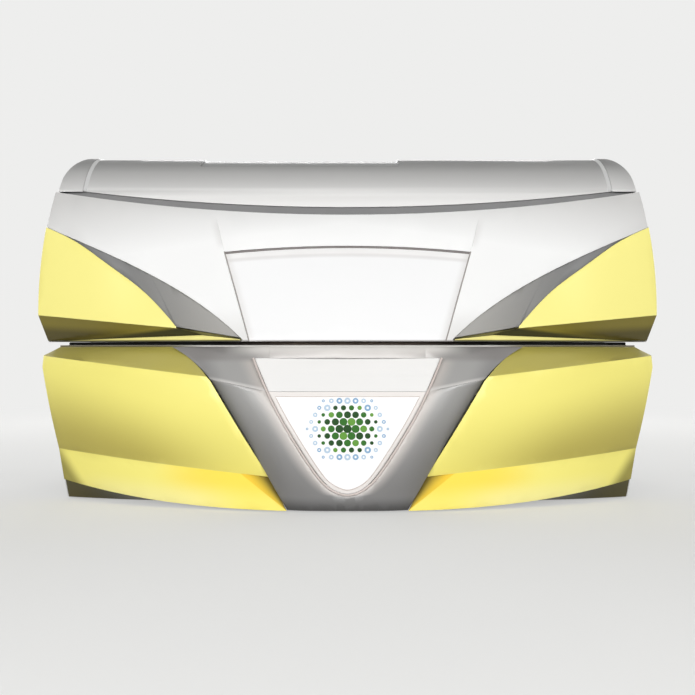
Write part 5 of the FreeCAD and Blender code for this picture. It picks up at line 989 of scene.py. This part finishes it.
def paleFloor():
    # pale where it is seen, fading into the backdrop far out, and a quieter grey as a source of bounced light
    half = studio["floorHalf"]
    finish = Finish("paleFloor")
    plain = finish.blend(finish.noise(40.0, 3.0) * 0.04, studio["floorTone"], studio["speckTone"])
    seen = finish.seenDirectly()
    finish.coat(Base_Color=finish.blend(seen, studio["bounceTone"], plain), Roughness=0.75, Specular_IOR_Level=0.0)
    far = finish.add("ShaderNodeVectorMath", {"operation": "LENGTH"}, {0: finish.place}, out="Value")
    fade = finish.maths("MAXIMUM", finish.ease(far, studio["fadeFrom"], studio["fadeTo"]), studio["glow"]) * seen
    glow = finish.add("ShaderNodeEmission", sockets={"Color": studio["backTone"], "Strength": 1.0})
    mixed = finish.add("ShaderNodeMixShader", sockets={0: fade, 1: Link(finish, finish.shader.outputs[0]), 2: glow})
    finish.feed(finish.tree.nodes["Material Output"].inputs["Surface"], mixed)
    mesh = bpy.data.meshes.new("floor")
    mesh.from_pydata([(-half, -half, 0), (half, -half, 0), (half, half, 0), (-half, half, 0)], [], [(0, 1, 2, 3)])
    mesh.materials.append(finish.material)
    floor = bpy.data.objects.new("floor", mesh)
    scene.collection.objects.link(floor)


def paleWorld():
    # the camera, gloss and glass see a pale backdrop; the object is lit by the plain world
    scene.world = bpy.data.worlds.new("studio")
    sky = NodeTree(scene.world)
    plain = sky.add("ShaderNodeBackground", sockets={"Color": studio["worldTone"], "Strength": studio["worldStrength"]})
    backdrop = sky.add("ShaderNodeBackground", sockets={"Color": studio["backTone"]})
    mixed = sky.add("ShaderNodeMixShader", sockets={0: sky.seenDirectly(), 1: plain, 2: backdrop})
    sky.feed(sky.tree.nodes["World Output"].inputs["Surface"], mixed)


# of each lamp: its place, its aim, its width and height, its power
lamps = {"keyFront": ((0.0, -5.3, 1.5), (0, -0.3, 0.75), (4.6, 1.4), 135),
         "nearLeft": ((-2.6, -4.5, 1.3), (-0.8, -0.2, 0.6), (1.4, 1.2), 60),
         "nearRight": ((2.6, -4.5, 1.3), (0.8, -0.2, 0.6), (1.4, 1.2), 60),
         "fillLeft": ((-5.5, 2.4, 1.8), (0, 0.2, 0.6), (2.4, 2.0), 120),
         "fillRight": ((5.5, 2.4, 1.8), (0, 0.2, 0.6), (2.4, 2.0), 120),
         "fillBack": ((0.0, 5.5, 2.6), (0, 0.3, 0.6), (4.0, 2.0), 210),
         "fillTop": ((0.0, 0.3, 5.2), (0, 0, 0), (4.0, 3.0), 14)}
view = {"place": (0, -3.673, 0.532), "pitch": 90, "lens": 50, "sensor": 36, "near": 0.05, "far": 60}

paleFloor()
paleWorld()
for name, (place, aim, size, power) in lamps.items():
    light = bpy.data.lights.new(name, "AREA")
    light.shape, light.size, light.size_y, light.energy = "RECTANGLE", size[0], size[1], power
    lamp = bpy.data.objects.new(name, light)
    scene.collection.objects.link(lamp)
    lamp.location = place
    lamp.rotation_euler = (Vector(aim) - Vector(place)).to_track_quat("-Z", "Y").to_euler()

camera = bpy.data.objects.new("camera", bpy.data.cameras.new("camera"))
scene.collection.objects.link(camera)
camera.location = view["place"]
camera.rotation_euler = (math.radians(view["pitch"]), 0, 0)
camera.data.lens, camera.data.sensor_width = view["lens"], view["sensor"]
camera.data.clip_start, camera.data.clip_end = view["near"], view["far"]
scene.camera = camera
scene.view_settings.view_transform = "Standard"
print("stage set")
